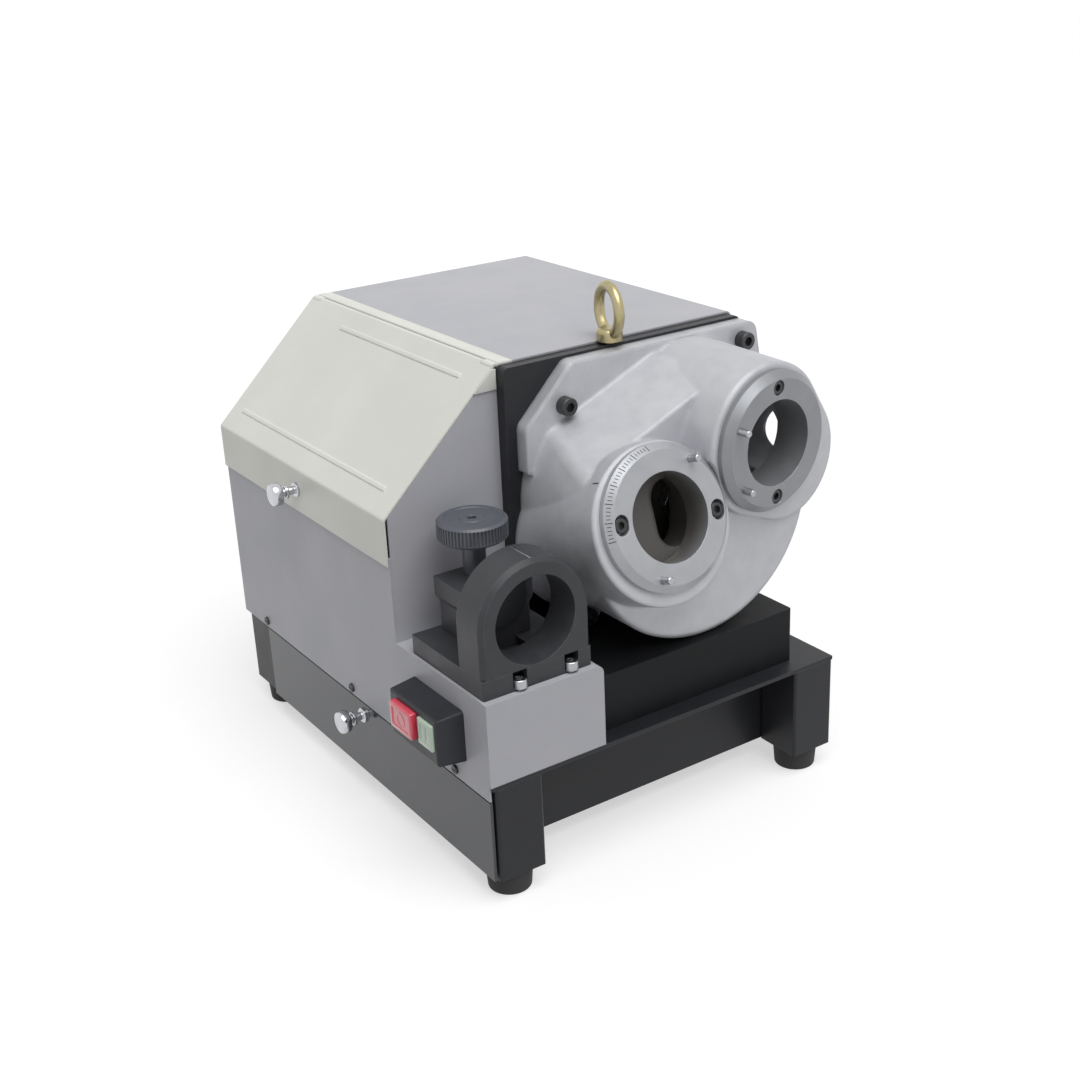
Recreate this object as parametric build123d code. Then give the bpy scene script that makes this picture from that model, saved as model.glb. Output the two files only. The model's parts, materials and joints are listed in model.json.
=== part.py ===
from build123d import *
import os
from math import asin, atan2, cos, degrees, hypot, radians, sin, sqrt, tan

# Working frame while modelling: X to the right from the left side, Y back from the
# deck's front edge, Z up from the floor. All sizes in millimetres.

# Shared clearances
fit_gap = 0.3               # between pieces that move past each other
running_clearance = 0.05    # radial, for shafts, pins and sleeves
screw_hole_room = 0.2       # radial, round screw shanks
cutter_reach = 400.0        # cutting blocks reach this far past the pieces

# Base
base_width = 300.0
base_depth = 382.0
deck_height = 91.0          # upper face of the deck
deck_thickness = 3.0
skirt_height = 11.0         # left panel and deck flange hang this far below the deck's top
flange_thickness = 2.0
post_width = 36.5
post_depth = 37.5
post_wall = 2.5
apron_thickness = 2.0
runner_width = 12.5
foot_radius = 16.5
foot_height = 18.0
foot_taper = 1.5

# Drawer
drawer_front_thickness = 2.0
drawer_front_margin = 2.0   # behind the deck's front edge
drawer_slit = 6.0           # open slit before the rear post
drawer_reveal = 1.0         # above and below the drawer front
tray_wall = 1.2
tray_length = 248.0
tray_headroom = 17.7        # tray's rim below the deck's top
tray_side_gap = 1.0
drawer_knob_place = 176.0   # back from the deck's front edge
drawer_knob_drop = 22.0     # below the deck's top

# Pull knobs of drawer and lid
knob_length = 21.0
knob_head_radius = 8.5
knob_head_length = 8.0
knob_neck_radius = 3.5
knob_screw_radius = 2.0
knob_nut_radius = 4.5
knob_nut_height = 3.0

# Hood
skin = 1.5                  # sheet thickness of hood, panels and lid
hood_front = 114.5
hood_rise = 240.0           # top of the hood above the deck
hood_right_inset = 1.5      # inside the deck's right edge
cover_bend_radius = 4.0
left_panel_overlap = 5.5    # left panel reaches up behind the lid's lip
rear_vent_count = 6
rear_vent_length = 90.0
rear_vent_width = 5.0
rear_vent_pitch = 14.0
rear_vent_rise = 105.0      # lowest slot above the deck
panel_screw_radius = 3.4
panel_screw_head = 1.8
panel_screw_shank = 1.9
panel_screw_margin = 44.0   # first and last screw from the panel's ends
panel_screw_count = 3
panel_screw_drop = 5.5      # below the deck's top

# Lid and its hinge
lid_lip_drop = 122.5        # lip's lower edge below the hood's top
lid_corner_drop = 89.0      # where the lip turns into the slope, below the hood's top
lid_bend_radius = 3.0
hinge_x = 92.0
hinge_radius = 3.0          # outside of the knuckles
hinge_pin_radius = 1.5
hinge_end_knuckle = 14.0    # fixed knuckle at each end, the lid's long one between them
hinge_knuckle_gap = 0.4
hinge_relief = 0.3          # room round the other leaf's knuckles
hinge_leaf_width = 14.0
hinge_tongue_width = 12.0
lid_knob_place = 248.0
lid_knob_rise = 17.5        # above the lip's lower edge
tool_tray_width = 84.0
tool_tray_depth = 59.0
tool_tray_drop = 3.5        # its rim below the lid's lip

# Bracket under the setting fixture
bracket_width = 92.0
bracket_rise = 60.3         # above the deck
bracket_sheet = 2.0
bracket_corner_radius = 6.0

# Riser block and mounting plate
riser_gap = 1.0             # beside the bracket
riser_width = 179.0
riser_front = 14.7
riser_depth = 65.3
riser_rise = 41.7           # above the deck
riser_edge_radius = 2.0
plate_thickness = 10.0
plate_over_spindle = 101.5  # plate's top above the spindle axis
plate_beside_spindle = 103.0   # plate's right edge from the spindle axis
plate_corner_radius = 4.0
plate_leg_left = 90.0       # the plate stands on the deck from here on, right of its left edge
plate_notch_width = 35.0    # its lower left corner is cut away beside the head's ear
plate_notch_height = 40.0   # above the riser

# Grinding head
spindle_offset = 103.0      # from the plate's left edge
head_riser_gap = 0.5        # under the head's rear rim
head_front = 20.0           # flat front face
head_front_radius = 94.5
head_rear_radius = 94.8
head_edge_radius = 5.0
head_flange_thickness = 12.0
head_flange_left = 95.0     # outline of the flange, from the spindle axis
head_flange_left_low = 28.0
head_flange_left_high = 60.0
head_flange_top_start = 56.0
head_flange_top = 99.5
head_flange_right = 108.0
head_flange_flare = (113.0, 70.0)   # the right edge spreads into boss 2
head_flange_right_low = 40.0
head_flange_corner = 9.0
head_ear_radius = 13.0
head_ear_angle = 60.0       # lower bolts, below the spindle's level
head_ear_room = 9.0         # lower bolts outside the head's rear rim
facet_angle = 113.0         # direction the sloping upper left face looks in
facet_rear = 81.0           # its distance from the axis at the flange
facet_slope = 0.21          # how fast it falls towards the front
facet_blend = 14.0
pocket_floor = 36.0         # recess between the two bosses
chamber_radius = 66.0
chamber_front = 42.0
boss_1_radius = 55.5
boss_1_drop = 4.0           # below the ring's axis
boss_2_radius = 54.5
boss_2_lobe_radius = 45.7
boss_2_lobe_offset = (22.0, -18.0)  # from the ring's axis
boss_2_draft = 2.9          # degrees
boss_2_length = 100.0
boss_edge_radius = 2.5
boss_ring_room = 0.6        # boss 2 is relieved round the swinging ring of port 1
swarf_window_radius = 17.0
swarf_window_offset = (104.0, 28.0)     # its middle, from the spindle axis
swarf_window_place = 50.0   # its middle, behind the deck's front edge
swarf_window_aim = (0.64, 0.70, -0.32)  # it leaves to the right, backwards and down
swarf_window_inside = 22.0  # from its middle back to port 2's relief
bolt_head_radius = 6.5
bolt_head_height = 8.0
bolt_shank_radius = 3.9
bolt_hole_radius = 4.2
spot_face_radius = 8.0      # cleared round the heads of the head's bolts
spot_face_depth = 14.0
upper_left_bolt = (-63.5, 71.0)     # from the spindle axis
upper_right_bolt = (95.0, 87.0)
motor_bolt_grip = 13.0

# Guide rings of the two ports
bore_radius = 30.5
ring_radius = 50.0
ring_thickness = 9.0
ring_bevel = 5.0
spigot_radius = 36.0
port_1_offset = (-45.4, 12.4)       # from the spindle axis
port_1_front = 0.0                  # face centre behind the deck's front edge
port_1_tilt = 19.0          # faces up by this much
port_1_bore_length = 24.0
port_1_floor_gap = 0.6
port_1_throat_width = 27.0
port_1_throat_height = 47.0
port_1_throat_offset = 18.0
port_1_throat_length = 70.0
port_1_seat_gap = 0.2
port_1_swing = 2.0          # degrees to each side
port_1_slot_spare = 0.4     # degrees beyond the swing
port_2_offset = (52.3, 39.9)        # from the spindle axis
port_2_front = 5.0
port_2_turn = 6.0           # faces right by this much
port_2_bore_length = 28.0
port_2_relief_length = 52.0
port_screw_circle = 39.0
port_screw_head_radius = 5.0
port_screw_head_height = 6.0
port_screw_shank_radius = 3.0
port_screw_length = 16.0
port_screw_room = 0.4
port_screw_hole_spare = 2.0 # hole below the screw's end
port_screw_seat = 7.0       # depth of the counterbore
port_screw_turn = 17.0      # how far round the sockets stand
port_1_screw_angle = -6.0   # degrees, right clamp screw above the port's level
pin_circle = 42.0
pin_radius = 2.5
pin_depth = 6.0
port_1_pin_proud = 10.0
port_2_pin_proud = 9.0
port_1_pin_angles = (53.0, 246.0)
port_2_pin_angles = (155.0, 217.0)

# Lifting eye
eye_x = 184.0
eye_ring_radius = 20.5
eye_loop_radius = 13.0
eye_height = 41.7
eye_turn = 12.0             # how far it came to rest past square
eye_collar_radius = 9.2
eye_collar_height = 9.0
eye_shank_radius = 3.9
eye_shank_length = 13.0

# Motor and spindle
motor_radius = 66.0
motor_shell = 6.0
motor_bell_radius = 69.0
motor_bell_length = 22.0
motor_frame_length = 135.0
motor_bolt_circle = 50.0
pilot_radius = 30.0
pilot_length = 6.0
stator_length = 95.0
stator_bore = 38.0
air_gap = 0.5
shaft_radius = 10.0
shaft_nose_gap = 2.0        # behind the chamber's front wall
shaft_rear_overhang = 26.0
shaft_hole_room = 2.0
bearing_radius = 23.5
bearing_width = 14.0
fan_radius = 46.0
fan_width = 16.0
fan_blades = 8
fan_blade_thickness = 2.0
fan_hub_radius = 16.0
fan_gap = 4.0
terminal_box_width = 56.0
terminal_box_length = 60.0
terminal_box_height = 26.0
capacitor_radius = 20.0
capacitor_height = 75.0
capacitor_offset = (-85.0, 60.0)    # from the spindle axis and the hood's front

# Grinding wheel
wheel_radius = 60.0
wheel_gap = 4.0             # abrasive rim behind the chamber's front wall
rim_height = 8.0
rim_width = 14.0
wheel_body_thickness = 12.0
wheel_hub_radius = 24.0
wheel_hub_length = 22.0
wheel_nut_radius = 15.0
wheel_nut_height = 9.0

# Cable gland in the rear panel
gland_x = 52.0
gland_rise = 27.0           # above the deck
gland_neck_radius = 6.3
gland_bore_radius = 4.0
gland_body_radius = 9.0
gland_proud = 13.0
gland_inside = 9.0

# Switch
switch_front = 28.4
switch_length = 65.2
switch_rise = 6.4           # above the deck
switch_height = 38.2
switch_depth = 20.0
switch_draft = 7.0          # degrees, sides drawn in towards the buttons
switch_wall = 1.6
switch_edge_radius = 3.0
button_lift = 3.0           # above the housing's middle
stop_button_place = 70.0
stop_button_size = (28.0, 19.5)
stop_button_proud = 5.0
start_button_place = 43.2
start_button_size = (18.6, 19.5)
start_button_proud = 2.0
button_shoulder = 1.0
button_shoulder_thickness = 2.0
button_edge_radius = 1.2
contact_block_depth = 7.0
wiring_window_margin = 9.0

# Setting fixture
fixture_left = 2.0
fixture_margin = 4.0        # bracket's top left free on the right
fixture_front = 5.0
setting_base_gap = 19.5     # between the base plate and the hood
setting_base_thickness = 13.7
setting_bore_rise = 31.3    # above the base plate
setting_block_length = 28.0
setting_block_bevel = 3.0
setting_notch_margin = 28.0 # first screw from the fixture's left side
setting_notch_pitch = 40.0
setting_notch_width = 11.0
setting_notch_depth = 10.0
setting_notch_floor = 2.0
setting_screw_back = 1.0    # screws behind the base's front face
setting_screw_spare = 4.0   # below the bracket's sheet
way_top = 20.0              # dovetail way: width at the top
way_bottom = 28.0
way_depth = 7.0
way_clearance = 0.1         # at each side of the tongue
tongue_root = 1.0           # tongue runs this far into the slide
slide_left = 23.0
slide_width = 46.0
slide_gap = 23.5            # between the slide and the hood
slide_length = 41.0
slide_height = 39.2
slide_edge_radius = 1.5
slide_head_height = 13.0    # the wider head on the slide's post
slide_head_overhang = 3.5
slide_head_slant = 5.0      # height of the slant under it
pad_radius = 20.0
pad_thickness = 5.0
lock_knob_radius = 24.0
lock_knob_thickness = 14.0
lock_knob_lift = 24.5       # above the slide
lock_knob_edge = 1.5
lock_stem_radius = 8.0
lock_stem_depth = 28.0
lock_stem_back = 11.0       # its axis from the slide's back

# Places that follow from the sizes above
post_left = skin + flange_thickness
drawer_knob_height = deck_height - drawer_knob_drop
tray_bottom = foot_height + apron_thickness + fit_gap
tray_top = deck_height - tray_headroom
deck_underside = deck_height - deck_thickness
skirt_bottom = deck_height - skirt_height
panel_screw_pitch = (base_depth - 2 * panel_screw_margin) / (panel_screw_count - 1)
panel_screw_places = [panel_screw_margin + i * panel_screw_pitch for i in range(panel_screw_count)]
apron_front = post_depth
apron_rear = base_depth - post_depth
hood_back = base_depth
hood_height = deck_height + hood_rise
hood_right = base_width - hood_right_inset
bracket_height = deck_height + bracket_rise
plate_front = hood_front - plate_thickness
plate_middle = hood_front - plate_thickness / 2
plate_left = bracket_width
riser_left = bracket_width + riser_gap
riser_height = deck_height + riser_rise
spindle_x = plate_left + spindle_offset
spindle_height = riser_height + head_riser_gap + head_rear_radius
plate_height = spindle_height + plate_over_spindle
plate_right = spindle_x + plate_beside_spindle
eye_seat = hood_height + fit_gap    # the eye's collar reaches back over the hood's edge
lip_x = -skin - fit_gap
lid_lip_bottom = hood_height - lid_lip_drop
lid_corner_height = hood_height - lid_corner_drop
lid_knob_height = lid_lip_bottom + lid_knob_rise
left_panel_height = lid_lip_bottom + left_panel_overlap
tool_tray_top = lid_lip_bottom - tool_tray_drop
tool_tray_floor = tool_tray_top - tool_tray_depth
hinge_height = hood_height - hinge_radius
head_ear_reach = head_rear_radius + head_ear_room
flange_front = plate_front - head_flange_thickness
switch_bottom = deck_height + switch_rise
fixture_width = bracket_width - fixture_left - fixture_margin - bracket_sheet
fixture_middle = fixture_left + fixture_width / 2
setting_notch_places = [fixture_left + setting_notch_margin + i * setting_notch_pitch for i in (0, 1)]
setting_base_top = bracket_height + setting_base_thickness
setting_base_back = hood_front - setting_base_gap
setting_screw_y = fixture_front + setting_screw_back
setting_bore_height = setting_base_top + setting_bore_rise
setting_block_back = fixture_front + setting_block_length
slide_middle = slide_left + slide_width / 2
slide_back = hood_front - slide_gap
slide_front = slide_back - slide_length
slide_bottom = setting_base_top + fit_gap
slide_top = slide_bottom + slide_height
lock_stem_y = slide_back - lock_stem_back
lock_knob_bottom = slide_top + lock_knob_lift
bell_front = hood_front
frame_front = bell_front + motor_bell_length
frame_back = frame_front + motor_frame_length
bell_back = frame_back + motor_bell_length
shaft_front = chamber_front + shaft_nose_gap
shaft_rear = bell_back + shaft_rear_overhang
wheel_face = chamber_front + wheel_gap
wheel_body_front = wheel_face + rim_height
wheel_body_back = wheel_body_front + wheel_body_thickness
port_1_place = (spindle_x + port_1_offset[0], port_1_front, spindle_height + port_1_offset[1])
port_2_place = (spindle_x + port_2_offset[0], port_2_front, spindle_height + port_2_offset[1])

# Slope of the lid: its outer face touches the hinge knuckles and meets the lip's corner
corner_run = hypot(hinge_x - lip_x, hinge_height - lid_corner_height)
slope_angle = degrees(
    atan2(hinge_height - lid_corner_height, hinge_x - lip_x) + asin(hinge_radius / corner_run)
)
slope_length = sqrt(corner_run ** 2 - hinge_radius ** 2)
slope_along = (cos(radians(slope_angle)), sin(radians(slope_angle)))
slope_out = (-slope_along[1], slope_along[0])

# Planes of the two ports: local x to the right, local y up, local z out of the machine
port_1_normal = (0.0, -cos(radians(port_1_tilt)), sin(radians(port_1_tilt)))
port_2_normal = (sin(radians(port_2_turn)), -cos(radians(port_2_turn)), 0.0)
port_2_across = (cos(radians(port_2_turn)), sin(radians(port_2_turn)), 0.0)
port_1_plane = Plane(origin=port_1_place, x_dir=(1, 0, 0), z_dir=port_1_normal)
port_2_plane = Plane(origin=port_2_place, x_dir=port_2_across, z_dir=port_2_normal)

nodes = {}


# Small helpers

def block(x, y, z):
    corner = Box(x[1] - x[0], y[1] - y[0], z[1] - z[0], align=(Align.MIN, Align.MIN, Align.MIN))
    return Pos(x[0], y[0], z[0]) * corner


def rod(start, direction, radius, length):
    stock = Cylinder(radius, length, align=(Align.CENTER, Align.CENTER, Align.MIN))
    return Plane(origin=start, z_dir=direction) * stock


def rod_along_y(x, z, radius, y):
    return rod((x, y[0], z), (0, 1, 0), radius, y[1] - y[0])


def ring_along_y(x, z, outer, inner, y):
    return rod_along_y(x, z, outer, y) - rod_along_y(x, z, inner, y)


def sheet_along_y(points, y):
    # Closed outline in X and Z, pulled from the first to the second place in Y
    plane = Plane(origin=(0, y[1], 0), x_dir=(1, 0, 0), z_dir=(0, -1, 0))
    outline = make_face(Polyline(*points, close=True))
    return extrude(plane * outline, amount=y[1] - y[0])


def disc(radius, z):
    # Disc about the local z axis of a port
    stock = Cylinder(radius, z[1] - z[0], align=(Align.CENTER, Align.CENTER, Align.MIN))
    return Pos(0, 0, z[0]) * stock


def socket_screw(head_radius, head_height, shank_radius, shank_length):
    # Underside of the head at z = 0, shank towards -z
    body = disc(head_radius, (0, head_height)) + disc(shank_radius, (-shank_length, 0))
    body = chamfer(body.faces().sort_by(Axis.Z)[-1].edges(), head_height * 0.08)
    socket = extrude(RegularPolygon(head_radius * 0.56, 6), amount=head_height)
    return body - Pos(0, 0, head_height * 0.5) * socket


def pull_knob(place):
    # Knob looking towards -X, seated with its neck on the outer face at the place
    along = Plane(origin=place, x_dir=(0, 1, 0), z_dir=(-1, 0, 0))
    neck = disc(knob_neck_radius, (0, knob_length - knob_head_length + 1.0))
    head = disc(knob_head_radius, (knob_length - knob_head_length, knob_length))
    head = fillet(head.edges().filter_by(GeomType.CIRCLE), knob_head_length * 0.3)
    return along * (neck + head)


# Base frame

def make_base():
    deck = block((skin, base_width), (0, base_depth), (deck_underside, deck_height))
    deck += block((skin, post_left), (post_depth, apron_rear), (skirt_bottom, deck_underside))
    screw_height = deck_height - panel_screw_drop
    for place in panel_screw_places:
        deck -= rod((0, place, screw_height), (1, 0, 0), panel_screw_shank + screw_hole_room, post_left)
    nodes["base_deck"] = deck

    right_post = base_width - post_width
    rear_post = base_depth - post_depth
    corners = {
        "post_front_left": (post_left, 0.0),
        "post_front_right": (right_post, 0.0),
        "post_rear_left": (post_left, rear_post),
        "post_rear_right": (right_post, rear_post),
    }
    feet = []
    for name, (x, y) in corners.items():
        post = block((x, x + post_width), (y, y + post_depth), (foot_height, deck_underside))
        post = fillet(post.edges().filter_by(Axis.Z), post_wall * 0.8)
        hollow = block(
            (x + post_wall, x + post_width - post_wall),
            (y + post_wall, y + post_depth - post_wall),
            (foot_height + post_wall, deck_underside),
        )
        nodes[name] = post - hollow
        foot = Cone(
            foot_radius - foot_taper, foot_radius, foot_height,
            align=(Align.CENTER, Align.CENTER, Align.MIN),
        )
        foot = fillet(foot.edges().filter_by(GeomType.CIRCLE).sort_by(Axis.Z)[0], foot_taper)
        feet.append(Pos(x + post_width / 2, y + post_depth / 2, 0) * foot)
    nodes["rubber_feet"] = feet[0] + feet[1:]

    apron_z = (foot_height, deck_underside)
    runner_z = (foot_height, foot_height + apron_thickness)
    apron_x = (post_left, base_width)
    runner_x = (post_left, base_width - apron_thickness)
    front = block(apron_x, (apron_front, apron_front + apron_thickness), apron_z)
    front += block(
        runner_x, (apron_front, apron_front + apron_thickness + runner_width), runner_z
    )
    nodes["front_apron"] = front
    rear = block(apron_x, (apron_rear - apron_thickness, apron_rear), apron_z)
    rear += block(
        runner_x, (apron_rear - apron_thickness - runner_width, apron_rear), runner_z
    )
    nodes["rear_apron"] = rear
    nodes["right_apron"] = block(
        (base_width - apron_thickness, base_width),
        (apron_front + apron_thickness, apron_rear - apron_thickness),
        apron_z,
    )


# Drawer, closed

def make_drawer():
    tray_x = (drawer_front_thickness, drawer_front_thickness + tray_length)
    tray_y = (
        apron_front + apron_thickness + tray_side_gap,
        apron_rear - apron_thickness - tray_side_gap,
    )
    tray = block(tray_x, tray_y, (tray_bottom, tray_top))
    tray -= block(
        (tray_x[0] + tray_wall, tray_x[1] - tray_wall),
        (tray_y[0] + tray_wall, tray_y[1] - tray_wall),
        (tray_bottom + tray_wall, tray_top),
    )
    front = block(
        (0, drawer_front_thickness),
        (drawer_front_margin, apron_rear - drawer_slit),
        (foot_height + drawer_reveal, skirt_bottom - drawer_reveal),
    )
    knob_place = (0, drawer_knob_place, drawer_knob_height)
    screw_end = drawer_front_thickness + tray_wall + knob_nut_height
    screw = rod(knob_place, (1, 0, 0), knob_screw_radius, screw_end)
    nut = rod(
        (drawer_front_thickness + tray_wall, drawer_knob_place, drawer_knob_height),
        (1, 0, 0), knob_nut_radius, knob_nut_height,
    )
    nodes["drawer_tray"] = tray - screw
    nodes["drawer_front"] = front - screw
    nodes["drawer_knob"] = pull_knob(knob_place) + screw + nut


# Hood sheets

def slope_point(along, depth):
    # Point on the lid's slope: run from the lip's corner, and depth below the outer face
    x = lip_x + slope_along[0] * along - slope_out[0] * depth
    z = lid_corner_height + slope_along[1] * along - slope_out[1] * depth
    return (x, z)


def slope_height(x, depth):
    start = slope_point(0, depth)
    return start[1] + (x - start[0]) * slope_along[1] / slope_along[0]


def end_panel(right, y):
    # Panel closing one end of the hood under the lid and the fixed hinge leaf
    depth = skin + fit_gap
    under_knuckles = hinge_height - hinge_radius - hinge_relief
    low = slope_height(skin, depth)
    run = (under_knuckles - low) * slope_along[0] / slope_along[1]
    beside_knuckles = hinge_x + hinge_radius + hinge_relief
    points = [
        (skin, deck_height),
        (skin, low),
        (skin + run, under_knuckles),
        (beside_knuckles, under_knuckles),
        (beside_knuckles, hood_height - skin),
        (right, hood_height - skin),
        (right, deck_height),
    ]
    return sheet_along_y(points, y)


def make_hood():
    lower = block((0, skin), (bracket_sheet, hood_front), (skirt_bottom, bracket_height - bracket_sheet))
    upper = block((0, skin), (hood_front, hood_back), (skirt_bottom, left_panel_height))
    panel = lower + upper
    screw_height = deck_height - panel_screw_drop
    screws = []
    for place in panel_screw_places:
        panel -= rod((0, place, screw_height), (1, 0, 0), panel_screw_shank + screw_hole_room, skin)
        screw = rod((0, place, screw_height), (-1, 0, 0), panel_screw_radius, panel_screw_head)
        screw = fillet(screw.edges().sort_by(Axis.X)[0], panel_screw_head * 0.5)
        slot = block(
            (-panel_screw_head, -panel_screw_head * 0.5),
            (place - panel_screw_radius * 0.7, place + panel_screw_radius * 0.7),
            (screw_height - 0.4, screw_height + 0.4),
        )
        shank = rod((0, place, screw_height), (1, 0, 0), panel_screw_shank, post_left)
        screws.append(screw - slot + shank)
    panel -= block(
        (0, skin),
        (switch_front + wiring_window_margin, switch_front + switch_length - wiring_window_margin),
        (switch_bottom + wiring_window_margin, switch_bottom + switch_height - wiring_window_margin),
    )
    nodes["left_panel"] = panel
    nodes["panel_screws"] = screws[0] + screws[1:]

    leaf_end = hinge_x + hinge_leaf_width
    nodes["front_panel"] = end_panel(leaf_end, (hood_front, hood_front + skin))
    rear = end_panel(hood_right - skin, (hood_back - skin, hood_back))
    rear_corner = rear.edges().filter_by(Axis.Y).sort_by(Axis.X)[-2:].sort_by(Axis.Z)[-1]
    rear = fillet(rear_corner, cover_bend_radius - skin)
    for index in range(rear_vent_count):
        z = deck_height + rear_vent_rise + index * rear_vent_pitch
        rear -= block(
            (spindle_x - rear_vent_length / 2, spindle_x + rear_vent_length / 2),
            (hood_back - skin, hood_back),
            (z, z + rear_vent_width),
        )
    rear -= rod_along_y(gland_x, deck_height + gland_rise, gland_neck_radius, (hood_back - skin, hood_back))
    nodes["rear_panel"] = rear

    outside = block((leaf_end, hood_right), (hood_front, hood_back), (deck_height, hood_height))
    outside = fillet(
        outside.edges().filter_by(Axis.Y).sort_by(Axis.X)[-2:].sort_by(Axis.Z)[-1], cover_bend_radius
    )
    inside = block(
        (leaf_end, hood_right - skin), (hood_front, hood_back), (deck_height, hood_height - skin)
    )
    inside = fillet(
        inside.edges().filter_by(Axis.Y).sort_by(Axis.X)[-2:].sort_by(Axis.Z)[-1],
        cover_bend_radius - skin,
    )
    nodes["hood_cover"] = outside - inside

    tray_y = (hood_front + skin, hood_back - skin)
    tray = block((skin, skin + tool_tray_width), tray_y, (tool_tray_floor, tool_tray_top))
    tray -= block(
        (skin + tray_wall, skin + tool_tray_width - tray_wall),
        (tray_y[0] + tray_wall, tray_y[1] - tray_wall),
        (tool_tray_floor + tray_wall, tool_tray_top),
    )
    nodes["tool_tray"] = tray


# Lid with its hinge

def make_lid():
    lid_y = (hood_front, hood_back)
    inner_along = skin * (1 + slope_out[0]) / slope_along[0]
    profile = [
        (lip_x, lid_lip_bottom),
        (lip_x, lid_corner_height),
        slope_point(slope_length, 0),
        slope_point(slope_length, skin),
        slope_point(inner_along, skin),
        (lip_x + skin, lid_lip_bottom),
    ]
    lid = sheet_along_y(profile, lid_y)
    bends = lid.edges().filter_by(Axis.Y).sort_by(Axis.X)
    outer_bend = bends.sort_by_distance((lip_x, hood_front, lid_corner_height))[0]
    lid = fillet(outer_bend, lid_bend_radius)
    inner_corner = slope_point(inner_along, skin)
    bends = lid.edges().filter_by(Axis.Y)
    inner_bend = bends.sort_by_distance((inner_corner[0], hood_front, inner_corner[1]))[0]
    lid = fillet(inner_bend, lid_bend_radius - skin)

    leaf_y = (hood_front + skin, hood_back - skin)
    leaf = block((hinge_x, hinge_x + hinge_leaf_width), lid_y, (hood_height - skin, hood_height))
    tongue_start = hinge_x + hinge_leaf_width - skin
    leaf += block(
        (tongue_start, tongue_start + hinge_tongue_width),
        leaf_y,
        (hood_height - 2 * skin, hood_height - skin),
    )
    ends = (lid_y[0], lid_y[0] + hinge_end_knuckle, lid_y[1] - hinge_end_knuckle, lid_y[1])
    for span, fixed in zip(zip(ends, ends[1:]), (True, False, True)):
        knuckle_y = (span[0] + hinge_knuckle_gap / 2, span[1] - hinge_knuckle_gap / 2)
        room = rod_along_y(hinge_x, hinge_height, hinge_radius + hinge_relief, span)
        bore = hinge_pin_radius if fixed else hinge_pin_radius + running_clearance
        bore_cut = rod_along_y(hinge_x, hinge_height, bore, span)
        knuckle = rod_along_y(hinge_x, hinge_height, hinge_radius, knuckle_y)
        if fixed:
            lid -= room
            leaf = leaf + knuckle - bore_cut
        else:
            leaf -= room
            lid = lid + knuckle - bore_cut
    knob_place = (lip_x, lid_knob_place, lid_knob_height)
    screw = rod(knob_place, (1, 0, 0), knob_screw_radius, skin + knob_nut_height)
    nut = rod(
        (lip_x + skin, lid_knob_place, lid_knob_height), (1, 0, 0), knob_nut_radius, knob_nut_height
    )
    nodes["lid"] = lid - screw
    nodes["lid_knob"] = pull_knob(knob_place) + screw + nut
    nodes["hinge_leaf"] = leaf
    nodes["hinge_pin"] = rod_along_y(hinge_x, hinge_height, hinge_pin_radius, lid_y)


# Bracket, riser block and mounting plate

def make_stand():
    outside = block((0, bracket_width), (0, hood_front), (deck_height, bracket_height))
    top_right = outside.edges().filter_by(Axis.Y).sort_by(Axis.X)[-2:].sort_by(Axis.Z)[-1]
    outside = fillet(top_right, bracket_corner_radius)
    inside = block(
        (0, bracket_width - bracket_sheet),
        (bracket_sheet, hood_front),
        (deck_height, bracket_height - bracket_sheet),
    )
    top_right = inside.edges().filter_by(Axis.Y).sort_by(Axis.X)[-2:].sort_by(Axis.Z)[-1]
    inside = fillet(top_right, bracket_corner_radius - bracket_sheet)
    bracket = outside - inside
    for place in setting_notch_places:
        bracket -= rod(
            (place, setting_screw_y, bracket_height),
            (0, 0, -1), port_screw_shank_radius + screw_hole_room, bracket_sheet,
        )
    nodes["fixture_bracket"] = bracket

    riser = block(
        (riser_left, riser_left + riser_width),
        (riser_front, riser_front + riser_depth),
        (deck_height, riser_height),
    )
    nodes["riser_block"] = fillet(riser.edges().filter_by(Axis.Z), riser_edge_radius)

    plate = block((plate_left, plate_right), (plate_front, hood_front), (riser_height, plate_height))
    plate = fillet(plate.edges().filter_by(Axis.Y).sort_by(Axis.Z)[-2:], plate_corner_radius)
    plate += block(
        (plate_left + plate_leg_left, plate_right), (plate_front, hood_front), (deck_height, riser_height)
    )
    plate -= block(
        (plate_left, plate_left + plate_notch_width),
        (plate_front, hood_front),
        (riser_height, riser_height + plate_notch_height),
    )
    plate -= rod_along_y(spindle_x, spindle_height, pilot_radius, (plate_front, hood_front))
    for x, z in head_bolts() + motor_bolts():
        plate -= rod_along_y(x, z, bolt_hole_radius, (plate_front, hood_front))
    plate -= rod((eye_x, plate_middle, plate_height), (0, 0, -1), eye_shank_radius, eye_shank_length)
    nodes["mounting_plate"] = plate


def head_bolts():
    dx = head_ear_reach * cos(radians(head_ear_angle))
    dz = head_ear_reach * sin(radians(head_ear_angle))
    lower = [(spindle_x + side * dx, spindle_height - dz) for side in (-1, 1)]
    upper = [(spindle_x + x, spindle_height + z) for x, z in (upper_left_bolt, upper_right_bolt)]
    return upper + lower


def motor_bolts():
    reach = motor_bolt_circle * cos(radians(45))
    return [(spindle_x + i * reach, spindle_height + j * reach) for i in (-1, 1) for j in (-1, 1)]


# Grinding head

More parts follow.
